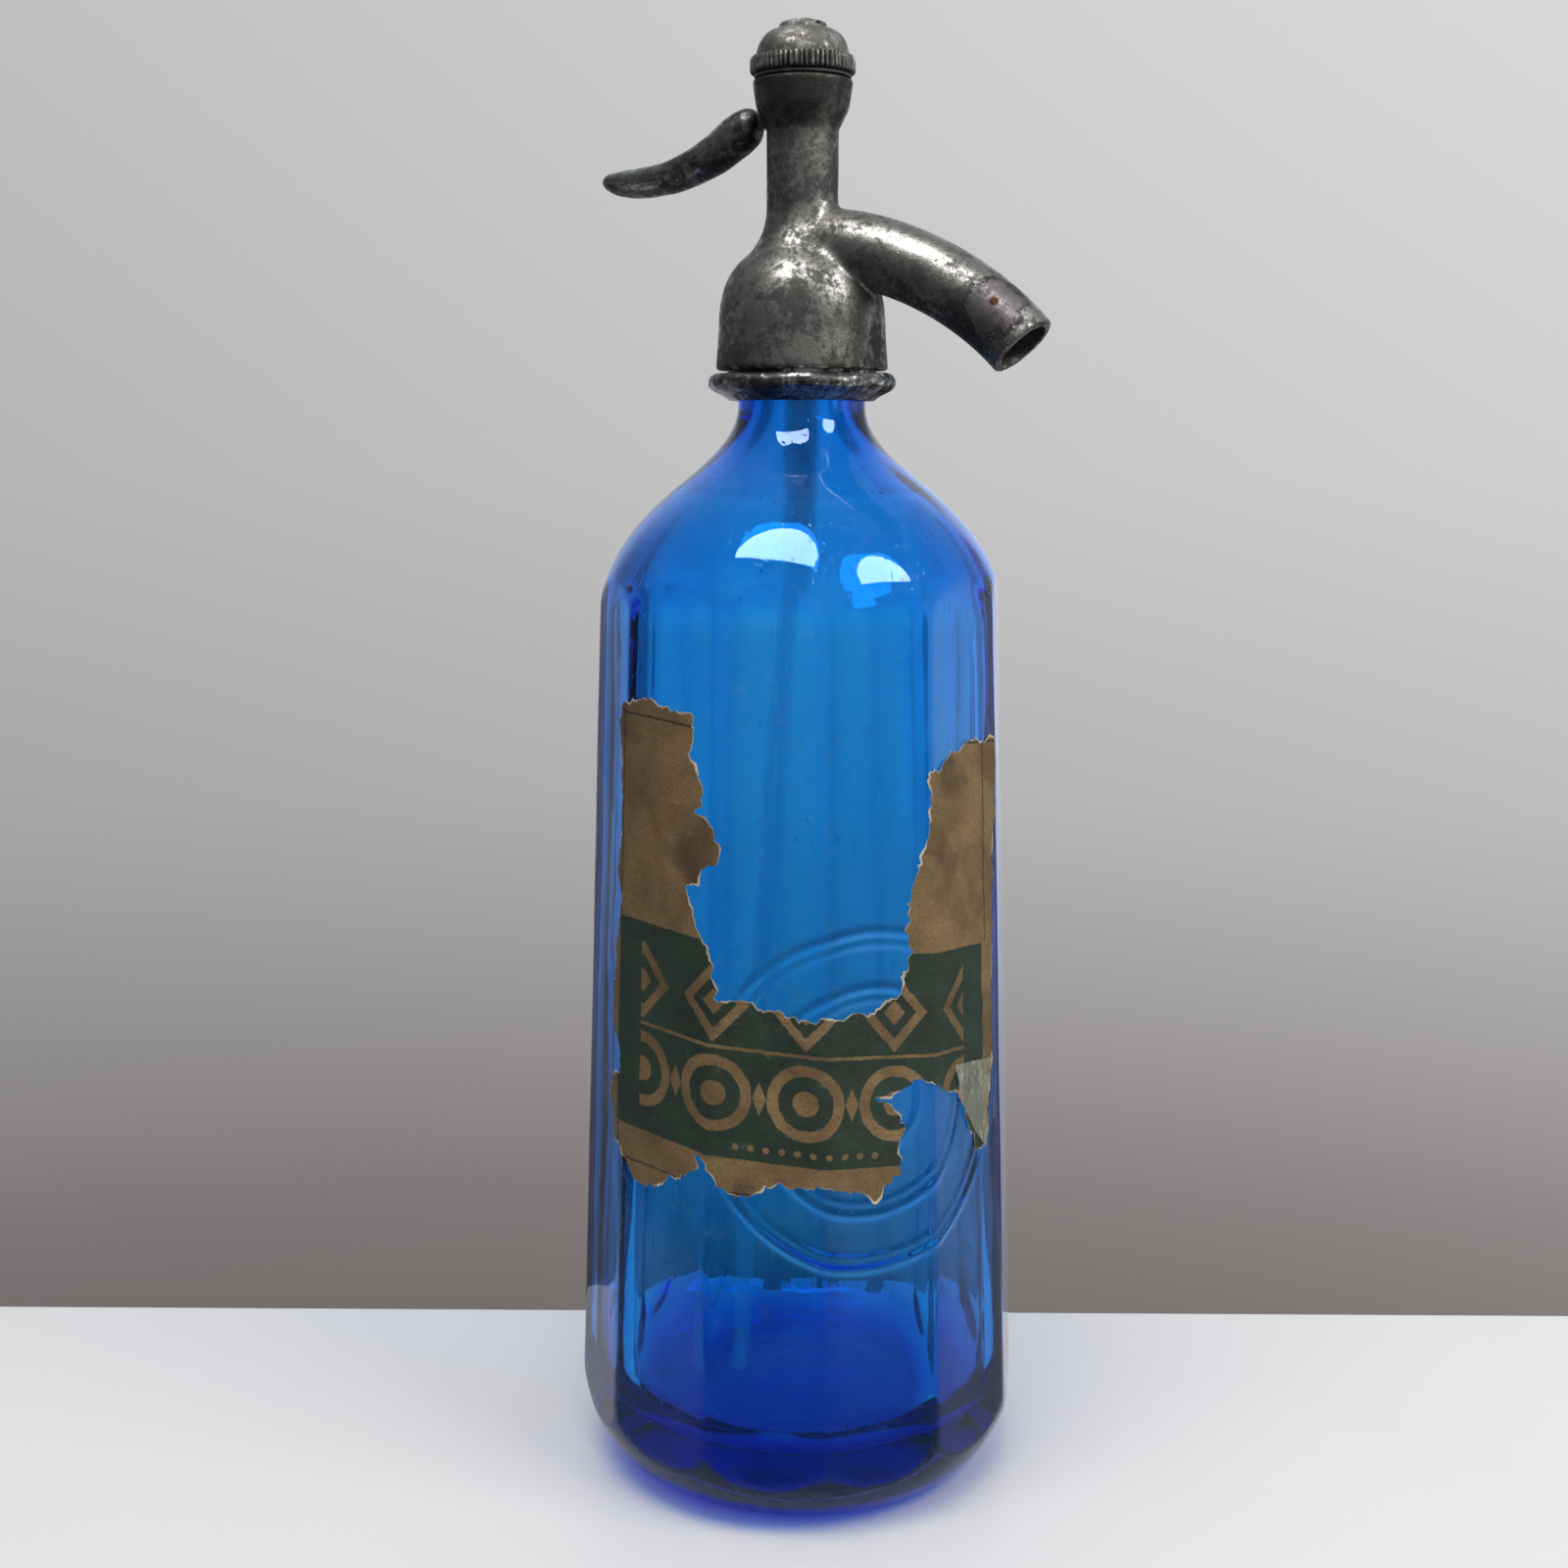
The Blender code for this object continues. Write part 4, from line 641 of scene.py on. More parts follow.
def facet_radius(angle, height):
    """Distance from the axis to the twelve flats, with softly rounded corners between them."""
    from_corner = np.abs(turn_from(angle, FACET_TURN, FACET_STEP))
    flat = corner_radius(height) * math.cos(FACET_STEP / 2)
    here, next_one = (flat / np.cos(FACET_STEP / 2 + side * from_corner) for side in (-1, 1))
    return soft_min(here, next_one, 0.0005)


def roundel_relief(angle, height):
    """Raised rings round the roundel's middle, each with a radius, a height and a width."""
    away = np.hypot(WRAP_RADIUS * turn_from(angle, ROUNDEL_TURN), height - ROUNDEL_HEIGHT)
    relief = 0.0
    for radius, rise, width in ROUNDEL_RINGS:
        relief = relief + rise * np.exp(-((away - radius) / width) ** 2)
    return relief


print("body measures", round(2000 * corner_radius(0.1), 1), "mm over its corners half way up")

# %% Outline of the bottle
def shoulder_curve():
    start, bend = (BLANK_TOP, BODY_TOP), (0.0270955, 0.21472)
    upper = bezier((start, (start[0], 0.1984), (0.0363115, 0.20704), bend), 34)
    lower = bezier((bend, (0.0215659, 0.219328), (NECK_RADIUS, 0.2248), (NECK_RADIUS, NECK_FOOT)), 20)
    return upper + lower[1:]


def bottle_outline():
    """Foot to lip on the outside, then down the inside to the middle of the floor."""
    under = [(0.0, 0.0012), (0.008, 0.0012), (0.016, 0.0009), (0.023, 0.0004), (0.028, 0.0)]
    heel = arc((BLANK_FOOT - HEEL_WIDTH, HEEL_HEIGHT), (HEEL_WIDTH, HEEL_HEIGHT), -90, 0, 38)
    spans = ((HEEL_HEIGHT, 0.056, 12), (0.056, 0.133, 125), (0.133, BODY_TOP, 18))
    heights = [h for span in spans for h in np.linspace(*span)[1:]][:-1]
    taper = (BLANK_TOP - BLANK_FOOT) / (BODY_TOP - HEEL_HEIGHT)
    body = [(BLANK_FOOT + taper * (h - HEEL_HEIGHT), h) for h in heights]
    shoulder = shoulder_curve()
    lip = [(NECK_RADIUS, 0.238), (NECK_RADIUS, 0.2446), (0.0138, 0.2448), (LIP_RADIUS - 0.0002, 0.2448),
           (LIP_RADIUS, 0.2451), (LIP_RADIUS, 0.2472), (LIP_RADIUS - 0.0003, 0.2478), (LIP_RADIUS - 0.0008, 0.2480),
           (NECK_BORE + 0.0006, 0.2480), (NECK_BORE + 0.0002, 0.2478), (NECK_BORE, 0.2474), (NECK_BORE, 0.2361),
           (NECK_BORE - 0.0003, 0.2358), (THROAT + 0.0003, 0.2353), (THROAT, 0.2349)]
    inside = []
    last = len(shoulder) - 1
    for index in range(last, -1, -2):
        before, after = shoulder[max(index - 1, 0)], shoulder[min(index + 1, last)]
        along = Vector((after[0] - before[0], after[1] - before[1])).normalized()
        wall = np.interp(index, (0, 34, last), (0.00637, 0.0050, NECK_RADIUS - THROAT))
        inside.append((shoulder[index][0] - along.y * wall, shoulder[index][1] + along.x * wall))
    inner = [tuple(point) for point in np.linspace(INNER_TOP, INNER_FOOT, 22)[1:]]
    inner += arc((INNER_FOOT[0] - INNER_HEEL, INNER_FOOT[1]), (INNER_HEEL, INNER_HEEL), 0, -90, 12)[1:]
    floor = [(0.020, 0.0142), (0.010, 0.0148), (0.0, 0.0150)]
    return under + heel + body + shoulder + lip + inside + inner + floor


outline = bottle_outline()
print("outline has", len(outline), "points")

# %% [markdown]
# The spin makes evenly spaced columns of faces. The roundel and the facet corners need finer ones than the
# flats do, so the columns are then slid round the axis: close together where there is detail, wide apart
# where there is none.

# %% Turn the bottle
COLUMNS = 270


def column_angles():
    """Angles of the columns, closer together at the corners and over the roundel."""
    fine = np.linspace(0, math.tau, 7201)
    density = 1 + 2.2 * np.exp(-(turn_from(fine, FACET_TURN, FACET_STEP) / 0.035) ** 2)
    density = np.where(np.abs(turn_from(fine, ROUNDEL_TURN)) < 0.82, np.maximum(density, 3.6), density)
    total = np.concatenate(([0], np.cumsum((density[1:] + density[:-1]) / 2)))
    return np.interp(np.arange(COLUMNS) / COLUMNS * total[-1], total, fine)


def turn_bottle():
    bottle = spin_chain(draw_chain("bottle_glass", outline), COLUMNS)
    table = points_of(bottle)
    radius, angle = round_of(table)
    height = table[:, 2]
    angle = column_angles()[np.rint(angle % math.tau / math.tau * COLUMNS).astype(int) % COLUMNS]
    lip = max(range(len(outline)), key=lambda i: outline[i][1])
    radii, heights = np.array(outline[4:lip + 1]).T
    outer = np.abs(radius - np.interp(height, heights, radii)) < 0.00025
    outer = outer & (height > 0.0001) & (height < 0.2440)
    inner = ~outer & (height > 0.0141) & (radius > 0.004) & (height < 0.236)
    shaped = soft_min(radius, facet_radius(angle, height), 0.00035) + roundel_relief(angle, height)
    shaped = shaped + 0.00006 * ripple(angle * 0.046, height, 3, 0.03) * (height > 0.02)
    shaped = np.where(outer & (height < 0.21), shaped, radius)
    wave = 0.00022 * ripple(angle * 0.04, height * 0.6, 5, 0.035) + 0.00019 * np.cos(12 * (angle - FACET_TURN))
    fade = np.clip((0.225 - height) / 0.03, 0, 1) * np.clip((height - 0.014) / 0.01, 0, 1)
    shaped = np.where(inner, radius + wave * fade, shaped)
    shaped[radius < 0.00001] = 0      # the two poles
    set_round(table, shaped, angle)
    move_points(bottle, table)
    print("outer points", int(outer.sum()), "inner points", int(inner.sum()))
    return bottle


bottle = turn_bottle()
settle(bottle, cobalt_glass, "blue_glass", "bottle", sharp=40)

# %% [markdown]
# ## Pewter
# The head is an old tin alloy casting: dark grey, dull in the hollows, mottled with lighter speckles where
# handling has polished the high places, and pitted like cast metal. Two sizes of noise carry the mottling and
# small cells the pits. Worn places could be found from the mesh's curvature, but noise is enough at this size.
# Near the spout's mouth a patch of the surface has flaked, with a spot of rust in it.

# %% Cast the pewter finish
SPOUT_FLAKE = (0.0455, -0.0058, 0.2508)
SPOUT_RUST = (0.0452, -0.0060, 0.2517)


def mix_pewter(name, dark, light, shine, tarnish=0.35, head=False, knurled=False):
    pewter = Finish(name)
    speckle, grain = pewter.noise(620, 5, 0.72), pewter.noise(2600, 3, 0.6)
    worn = (pewter.noise(70, 4, 0.6, 0.4) * 0.55 + speckle * 0.45).level(0.46, 0.60)
    patch = pewter.noise(160, 4, 0.65, 1.2).level(0.46, 0.62)
    pits = pewter.cells(900).level(0, 0.22, 1, 0) * pewter.noise(210, 3).level(0.45, 0.6)
    colour = pewter.coat(pewter.blend(worn, dark, light), (patch * tarnish, tone(40, 38, 36)),
                         (pits * 0.7, tone(28, 26, 24)))
    rough = worn.level(0, 1, shine + 0.24, shine - 0.06) + grain.level(0.35, 0.65, -0.06, 0.08)
    height = speckle * 0.55 - pits * 0.8 + grain * 0.22
    if head:
        high = pewter.axis(2)
        edge = high.level(0.2392, 0.2399, 1, 0) * pewter.noise(330, 3, 0.6).level(0.50, 0.56)
        ragged = pewter.noise(330, 5, 0.82)
        flake = pewter.near(SPOUT_FLAKE, 0.0002, 0.0125) * ragged
        chip = flake.level(0.285, 0.305)
        rust = (pewter.near(SPOUT_RUST, 0.0002, 0.0018) * ragged).level(0.14, 0.40)
        # Painted shade: from the top of the column up to the cup's rim, the pewter is painted darker.
        colour = pewter.coat(colour, (high.level(0.2835, 0.2900, 0, 0.75), tone(34, 33, 30)),
                             (edge, tone(188, 186, 182)), (flake.level(0.25, 0.27), tone(38, 36, 35)),
                             (chip * 0.75, pewter.blend(speckle, tone(46, 43, 44), tone(116, 110, 111))),
                             (rust, tone(62, 36, 24)))
        rough, height = rough + rust * 0.3, height - chip * 0.9
    if knurled:
        flat = pewter.vector("MULTIPLY", pewter.place, (1, 1, 0), "Vector")
        out = pewter.vector("LENGTH", flat)
        # Painted shade: the valleys between the knurl's teeth are painted almost black.
        knurl_valley_shade = out.level(0.0101, 0.0107, 1, 0) * out.level(0.0098, 0.0100)
        colour = pewter.blend(knurl_valley_shade * 0.85, colour, tone(18, 17, 16))
    pewter.set(Base_Color=colour, Roughness=rough, Normal=pewter.bump(height, 0.00012, 0.85), Metallic=0.92)
    return pewter.material


head_pewter = mix_pewter("head_pewter", tone(66, 65, 63), tone(130, 128, 123), 0.39, head=True)
lever_pewter = mix_pewter("lever_pewter", tone(52, 52, 51), tone(136, 135, 132), 0.25)
cap_pewter = mix_pewter("cap_pewter", tone(84, 82, 79), tone(136, 134, 130), 0.48, 0.25, knurled=True)
collar_pewter = mix_pewter("collar_pewter", tone(64, 63, 61), tone(178, 178, 176), 0.20, 0.85)
print("pewter recipe has", len(head_pewter.node_tree.nodes), "nodes")

# %% [markdown]
# ## Head and spout
# Skirt, bell, column and cup are one turned form, and the spout grows out of the bell. On the bench the
# solder between them is dressed flush, so both are shown as one skin. A turned solid and a solid swept from
# extruded rings are joined, remeshed into even small faces and smoothed. The smoothing is stronger over the
# spout's back, where the real metal flows, and almost none below, where it keeps a crease. The bores, the
# lever's slot and the pin's groove are cut last, so that they stay sharp.

# %% Sizes of the head
HEAD_FOOT, CUP_TOP = 0.2392, 0.2972
HEAD_BORES = (      # radius, and the height where it ends
    (0.0159, 0.2510),      # skirt, over the glass lip
    (0.0056, 0.2557),      # thread of the valve seat
    (0.0044, 0.2700),      # valve chamber
    (0.0019, 0.2720),      # the rod's hole
    (0.0052, 0.2912),      # gland and block
    (0.0076, 0.2982),      # thread of the cap
)
PIVOT = Vector((-0.006, 0, 0.2896))
SPOUT_START, SPOUT_END = Vector((0.006, 0, 0.2644)), Vector((0.0492, 0, 0.2432))
SPOUT_SLOPES = (math.radians(6.5), math.radians(47))
SPOUT_SWELL = 0.017      # from here on the root's radius runs out to the mouth's


def head_curve():
    """Radius and height of the head's outside, from the skirt's edge to the cup's rim."""
    z = HEAD_FOOT
    bell, bend, column = (0.0174, z + 0.008), (0.0122, z + 0.0226), (0.0074, z + 0.033)
    points = [(0.01765, z), (0.0180, z + 0.0004)]
    points += bezier((bell, (0.0174, z + 0.016), (0.01532, z + 0.02012), bend), 16)
    points += bezier((bend, (0.009665, z + 0.024615), (0.0074, z + 0.028), column), 12)[1:]
    points += bezier(((0.0074, z + 0.0482), (0.0082, z + 0.04970), (0.0097, z + 0.05225), (0.0097, z + 0.0536)), 12)
    return points + [(0.01028, CUP_TOP - 0.0004), (0.0099, CUP_TOP)]


def spout_route(rings):
    """Points along the spout's middle line, and its direction at each."""
    first, last = (Vector((math.cos(slope), 0, -math.sin(slope))) for slope in SPOUT_SLOPES)
    corners = (SPOUT_START, SPOUT_START + first * 0.018144, SPOUT_END - last * 0.013824, SPOUT_END)
    flat = bezier([(corner.x, corner.z) for corner in corners], rings)
    points = [Vector((x, 0, z)) for x, z in flat]
    along = [(points[min(i + 1, rings)] - points[max(i - 1, 0)]).normalized() for i in range(rings + 1)]
    along[0], along[-1] = first, last
    return points, along


def spout_rings(root, mouth, rings, early=0.0, late=0.0):
    """Stations of the spout, lengthened at either end for a tool that has to stick out."""
    points, along = spout_route(rings)
    stations = []
    for point, direction in zip(points, along):
        radius = root + (mouth - root) * max(point.x - SPOUT_SWELL, 0) / (SPOUT_END.x - SPOUT_SWELL)
        stations.append((point, direction, radius, radius))
    if early:
        stations.insert(0, (points[0] - along[0] * early, along[0], root, root))
    if late:
        stations.append((points[-1] + along[-1] * late, along[-1], mouth, mouth))
    return stations


print("spout route ends at", [round(value, 4) for value in spout_route(30)[0][-1]])

# %% Cast the head
def root_nearness(table):
    """1 on the upper crease between bell and spout, falling to 0 away from it and below."""
    curve = sorted(head_curve(), key=lambda point: point[1])
    radii, heights = np.array(curve).T
    from_bell = round_of(table)[0] - np.interp(table[:, 2], heights, radii)
    route = np.array(spout_route(30)[0])
    from_route = np.min(np.linalg.norm(table[:, None, :] - route[None, ::2, :], axis=2), axis=1)
    upper = np.clip((table[:, 2] - 0.2555) / 0.0085, 0, 1)
    ahead = table[:, 0] > 0.002
    return np.exp(-(from_bell / 0.0030) ** 2) * np.exp(-((from_route - 0.0075) / 0.0034) ** 2) * upper * ahead


def smooth_where(piece, name, weights, rounds):
    """Smooths a piece by a weight for each of its vertices."""
    group = piece.vertex_groups.new(name=name)
    for index in np.nonzero(weights > 0.02)[0]:
        group.add([int(index)], float(weights[index]), "REPLACE")
    use_modifier(piece, "SMOOTH", factor=0.5, iterations=rounds, vertex_group=name)
    piece.vertex_groups.clear()


def cast_head():
    curve = head_curve()
    head = spin_chain(draw_chain("head_casting", [(0, curve[0][1])] + curve + [(0, curve[-1][1])]), 96)
    spout = sweep_rings("spout_blank", spout_rings(0.0075, 0.00715, 30), 48)
    combine(head, spout, "UNION")
    use_modifier(head, "REMESH", mode="VOXEL", voxel_size=0.00042, use_smooth_shade=True)
    smooth_where(head, "flow", root_nearness(points_of(head)), 160)
    smooth_where(head, "cast", np.full(len(head.data.vertices), 0.6), 5)
    return head


def bore_head(head):
    """Cuts the turned bores, the spout's bore, the lever's slot and the pin's groove."""
    bores = [(0, HEAD_FOOT - 0.001)]
    for radius, ceiling in HEAD_BORES:
        bores += [(radius, bores[-1][1]), (radius, ceiling)]
    bores.append((0, bores[-1][1]))
    combine(head, spin_chain(draw_chain("bore_tool", bores), 64), "DIFFERENCE")
    combine(head, sweep_rings("spout_bore_tool", spout_rings(0.0030, 0.0055, 30, 0.004, 0.003), 40), "DIFFERENCE")
    combine(head, add_block("slot_tool", (-0.0123, -0.0015, 0.28605), (-0.0032, 0.0015, 0.2918)), "DIFFERENCE")
    combine(head, add_block("groove_tool", (-0.00685, -0.0029, 0.28875), (-0.00515, 0.0029, 0.2932)), "DIFFERENCE")
    return head


head = bore_head(cast_head())
settle(head, head_pewter, "pewter", "head_body", "spout", sharp=38)

# %% [markdown]
# ## Thumb lever
# The lever is a casting too: thick and round where it meets the head, sagging to a thumb-worn spoon at its
# end, with a parting line along each side where the mould's halves met. Rings are extruded along its curve
# and smoothed by a Subdivision Surface. The thin tongue, which works inside the head, is a flat outline given
# its thickness by Solidify, and the two are joined.

# %% Cast the lever
LEVER_STATIONS = (
    (0.091, 0.03, 0.25, 0.30), (0.101, 0.015, 0.52, 0.56), (0.125, 0.025, 0.84, 0.80), (0.170, 0.09, 0.97, 0.88),
    (0.236, 0.27, 1.00, 0.96), (0.354, 0.57, 0.90, 1.00), (0.485, 0.80, 0.81, 1.00),
    (0.630, 0.95, 0.77, 0.98), (0.782, 1.00, 0.73, 0.94), (0.889, 0.98, 0.64, 0.82),
    (0.955, 0.94, 0.49, 0.62), (0.988, 0.92, 0.30, 0.38), (0.999, 0.91, 0.12, 0.16),
)
LEVER_REACH, LEVER_DROP, LEVER_THICKNESS, LEVER_WIDTH = 0.0424, 0.0106, 0.0088, 0.0096


def lever_rings():
    centres = [PIVOT + Vector((-reach * LEVER_REACH, 0, -drop * LEVER_DROP)) for reach, drop, _, _ in LEVER_STATIONS]
    rings = []
    for index, (_, _, thick, wide) in enumerate(LEVER_STATIONS):
        before, after = centres[max(index - 1, 0)], centres[min(index + 1, len(centres) - 1)]
        rings.append((centres[index], (after - before).normalized(), wide * LEVER_WIDTH / 2,
                      thick * LEVER_THICKNESS / 2))
    return rings


def tongue_outline():
    """The flat part inside the head, from its pivot: shank, boss, web and nose."""
    boss, nose = (0.0017, 0.0017), (0.0018, 0.0018)
    return (arc((0, 0), boss, 115, -25, 11) + arc((0.006, -0.002), nose, 115, -115, 21)
            + arc((0, 0), boss, -60, -120, 7) + [(-0.0065, -0.0014), (-0.0065, 0.0014)])


def add_tongue():
    tongue = draw_chain("tongue", [(PIVOT.x + x, PIVOT.z + z) for x, z in tongue_outline()])
    bpy.ops.mesh.select_all(action="SELECT")
    bpy.ops.mesh.edge_face_add()
    bpy.ops.mesh.delete(type="ONLY_FACE")
    bpy.ops.mesh.select_all(action="SELECT")
    bpy.ops.mesh.edge_face_add()
    bpy.ops.object.mode_set(mode="OBJECT")
    use_modifier(tongue, "SOLIDIFY", thickness=0.0024, offset=0)
    return tongue


def cast_lever():
    lever = sweep_rings("thumb_lever_casting", lever_rings(), 24)
    use_modifier(lever, "SUBSURF", levels=2, render_levels=2)
    table = points_of(lever)
    outside = PIVOT.x - 0.0075 - table[:, 0]      # how far a point is out of the head
    centres = np.array(sorted(tuple(ring[0]) for ring in lever_rings()))
    off = table[:, 2] - np.interp(table[:, 0], centres[:, 0], centres[:, 2])
    seam = np.exp(-((off + 0.0006) / 0.00030) ** 2) * np.clip(outside / 0.008, 0, 1)
    table[:, 1] += np.sign(table[:, 1]) * seam * 0.00020
    table[:, 2] += 0.00007 * ripple(table[:, 0], table[:, 1] + table[:, 2], 11, 0.009) * (outside > 0)
    move_points(lever, table)
    combine(lever, add_tongue(), "UNION")
    pick()
    bpy.ops.mesh.primitive_cylinder_add(vertices=24, radius=0.00085, depth=0.006, location=PIVOT,
                                        rotation=(math.pi / 2, 0, 0))
    combine(lever, bpy.context.object, "DIFFERENCE")
    return lever


lever = cast_lever()
settle(lever, lever_pewter, "pewter", "lever", body="thumb_lever", sharp=38)

# %% [markdown]
# ## Screw cap
# The cap is turned, then knurled with a hand tool, so its teeth are uneven, and the slotted stub on its dome
# has been mangled by many a screwdriver. It is spun with enough columns for every tooth. Then the rim's
# vertices move in and out to form ragged teeth, and the stub's top is tilted and dented. Its slot is cut
# last.

# %% Turn and knurl the cap
CAP_FOOT, CAP_TOP, TEETH = 0.2926, 0.3085, 62
RIM_FOOT, RIM_HEIGHT, RIM_RADIUS = CAP_FOOT + 0.0057, 0.0032, 0.0108      # the knurled rim
STUB_FOOT = 0.3067


def cap_outline():
    """From the spring's pocket round the skirt, the knurled rim and the dome to the stub."""
    foot, rim, crown = CAP_FOOT, RIM_FOOT, RIM_FOOT + RIM_HEIGHT
    skirt = [(0, foot + 0.0120), (0.0046, foot + 0.0120), (0.0046, foot), (0.0073, foot), (0.0073, rim)]
    knurl = [(0.0090, rim), (0.0104, rim), (0.01065, rim + 0.0002), (RIM_RADIUS, rim + 0.0005)]
    knurl += [(RIM_RADIUS, rim + share * 0.0030) for share in (0.33, 0.5, 0.67, 0.83)]
    knurl += [(0.0106, rim + 0.0029), (0.0102, rim + 0.0031), (0.0097, crown)]
    dome = arc((0.0049, crown), (0.0046, 0.0055), 0, 84, 16) + [(0.0050, crown + 0.0055 * 0.995)]
    stub = [(0.0049, CAP_TOP - 0.0013), (0.00485, CAP_TOP - 0.0006), (0.0046, CAP_TOP - 0.0002)]
    return skirt + knurl + dome + stub + [(radius, CAP_TOP) for radius in (0.0042, 0.0030, 0.0015, 0)]


def turn_cap():
    cap = spin_chain(draw_chain("screw_cap", cap_outline()), TEETH * 6)
    table = points_of(cap)
    radius, angle = round_of(table)
    height, rim = table[:, 2], RIM_FOOT
    uneven = 0.10 * np.sin(3 * angle + 1) + 0.14 * np.sin(17 * angle) + 0.12 * np.sin(29 * angle + height * 900)
    tooth = np.clip(np.cos(TEETH * angle + uneven * 3 + (height - rim) * 90) * 2.2 + 0.25, -1, 1)
    depth = 0.00056 + 0.00016 * np.sin(7 * angle + 2) * np.sin(23 * angle)
    on_rim = (radius > 0.0100) & (height > rim - 0.00001) & (height < rim + RIM_HEIGHT)
    radius = np.where(on_rim, radius - depth * (0.5 - 0.5 * tooth), radius)
    lift = np.where(on_rim & (height > rim + 0.0027), 0.00022 * tooth + 0.0001 * np.sin(11 * angle), 0)
    dome = (radius <= 0.0100) & (height > rim + 0.0031)
    radius = radius + np.where(dome, 0.00005 * ripple(angle * 0.008, height, 21, 0.006), 0)
    set_round(table, radius, angle)
    tilt = 0.00018 * (table[:, 0] * 0.55 - table[:, 1] * 0.45) / 0.0049 - 0.00018
    dent = 0.00016 * ripple(table[:, 0], table[:, 1], 8, 0.0030)
    share = np.clip((height - STUB_FOOT) / 0.0012, 0, 1) * (radius < 0.0051)
    table[:, 2] = np.minimum(height + lift + (tilt + dent) * share, CAP_TOP)
    move_points(cap, table)
    slot = add_block("screwdriver_slot", (-0.0075, -0.00055, 0.3074), (0.0075, 0.00055, 0.3105))
    turn_about_axis(slot, 24)
    combine(cap, slot, "DIFFERENCE")
    return cap


cap = turn_cap()
settle(cap, cap_pewter, "pewter", "cap", sharp=42)

# %% [markdown]
# ## Collar
# Two threaded half rings grip the glass under its lip. Years of wrenches have dented the flange, and its two
# seams don't quite meet. Each half is a closed outline spun through half a turn, and its flange is then bent
# and dented by a few slow waves.

# %% Turn the collar
COLLAR_FOOT, FLANGE_TOP, COLLAR_TOP, COLLAR_BORE = 0.2330, 0.2385, 0.2445, 0.0137
SEAM_TURN, SEAM_GAP = math.radians(10), 0.0005 / COLLAR_BORE


def collar_outline():
    foot, top = COLLAR_FOOT, FLANGE_TOP
    edge = (0.0197, foot + 0.0032)
    flange = bezier(((0.0151, foot), (0.0166, foot + 0.0013), (0.0190, foot + 0.0020), edge), 10)
    flange += bezier((edge, (0.0199, foot + 0.0046), (0.0191, top), (0.0180, top)), 8)[1:]
    ring = [(0.0156, top), (0.0156, COLLAR_TOP), (COLLAR_BORE, COLLAR_TOP), (COLLAR_BORE, foot + 0.0002)]
    return [(0.0139, foot), (0.0145, foot)] + flange + ring


def turn_collar_half(name, index, seed):
    points = collar_outline()
    half = draw_chain(name, points + points[:1])
    merge_points()
    bpy.ops.mesh.edge_face_add()
    start = SEAM_TURN + index * math.pi + SEAM_GAP / 2
    bpy.ops.transform.rotate(value=-start, orient_axis="Z", center_override=(0, 0, 0))
    spin_chain(half, 110, math.pi - SEAM_GAP)
    table = points_of(half)
    radius, angle = round_of(table)
    flange = np.clip((radius - 0.0158) / 0.003, 0, 1) * (table[:, 2] < FLANGE_TOP + 0.0001)
    bend = 0.00032 * ripple(angle * 0.02, 0 * angle, seed, 0.018)
    bend += 0.00012 * ripple(angle * 0.02, angle, seed + 1, 0.004)
    from_seam = np.abs(turn_from(angle, SEAM_TURN, math.pi))
    torn = np.exp(-(from_seam / 0.22) ** 2) * 0.0004 * np.sin(from_seam * 40 + seed)
    bent = np.minimum(table[:, 2] + flange * (bend + torn - 0.00008), FLANGE_TOP + 0.00015)
    table[:, 2] = np.where(flange > 0, bent, table[:, 2])
    set_round(table, radius - flange * np.abs(0.00022 * ripple(angle * 0.02, table[:, 2], seed + 2, 0.006)), angle)
    move_points(half, table)
    return half


for name, index, seed in (("collar_rear_ring", 0, 31), ("collar_front_ring", 1, 42)):
    half = turn_collar_half(name, index, seed)
    settle(half, collar_pewter, "collar_metal", name.replace("ring", "half"), sharp=42)

# %% [markdown]
# ## Paper label
# What is left of the label is torn kraft paper with a printed green band. Torn paper shows its pale core as
# a thin rim, because the printed face tears away a little further in. So it is built as two sheets: a core
# and, over it, a printed face that stops a hair short of it. Each outline is roughened in code, filled as one
# flat face, cut into small cells with bisect, wrapped round the facets and given its thickness by Solidify.

# %% Sizes of the label
LABEL_WIDTH, LABEL_HEIGHT, LABEL_BASE, LABEL_FALL = 0.1023, 0.1000, 0.0701, 0.073
LABEL_TURN = math.radians(-61)
LABEL_CORNERS = (
    (-0.45, 0.99), (-0.25, 1.00), (-0.25, 0.93), (-0.23, 0.88), (-0.22, 0.83), (-0.24, 0.81),
    (-0.20, 0.79), (-0.18, 0.75), (-0.18, 0.72), (-0.21, 0.70), (-0.26, 0.65), (-0.25, 0.62),
    (-0.22, 0.56), (-0.19, 0.51), (-0.18, 0.43), (-0.11, 0.44), (-0.02, 0.42), (0.14, 0.43),
    (0.20, 0.47), (0.22, 0.53), (0.23, 0.70), (0.27, 0.92), (0.33, 0.95), (0.42, 0.98),
    (0.50, 0.98), (0.48, 0.55), (0.47, 0.30), (0.45, 0.12), (0.42, 0.11), (0.39, 0.17),
    (0.37, 0.22), (0.32, 0.26), (0.25, 0.29), (0.14, 0.26), (0.18, 0.24), (0.21, 0.19),
    (0.19, 0.14), (0.20, 0.10), (0.15, 0.05), (-0.04, 0.07), (-0.10, 0.05), (-0.17, 0.05),
    (-0.18, 0.07), (-0.23, 0.11), (-0.25, 0.05), (-0.34, 0.00), (-0.39, 0.00), (-0.47, 0.10),
    (-0.50, 0.15), (-0.43, 0.23), (-0.48, 0.40), (-0.44, 0.57), (-0.47, 0.95),
)
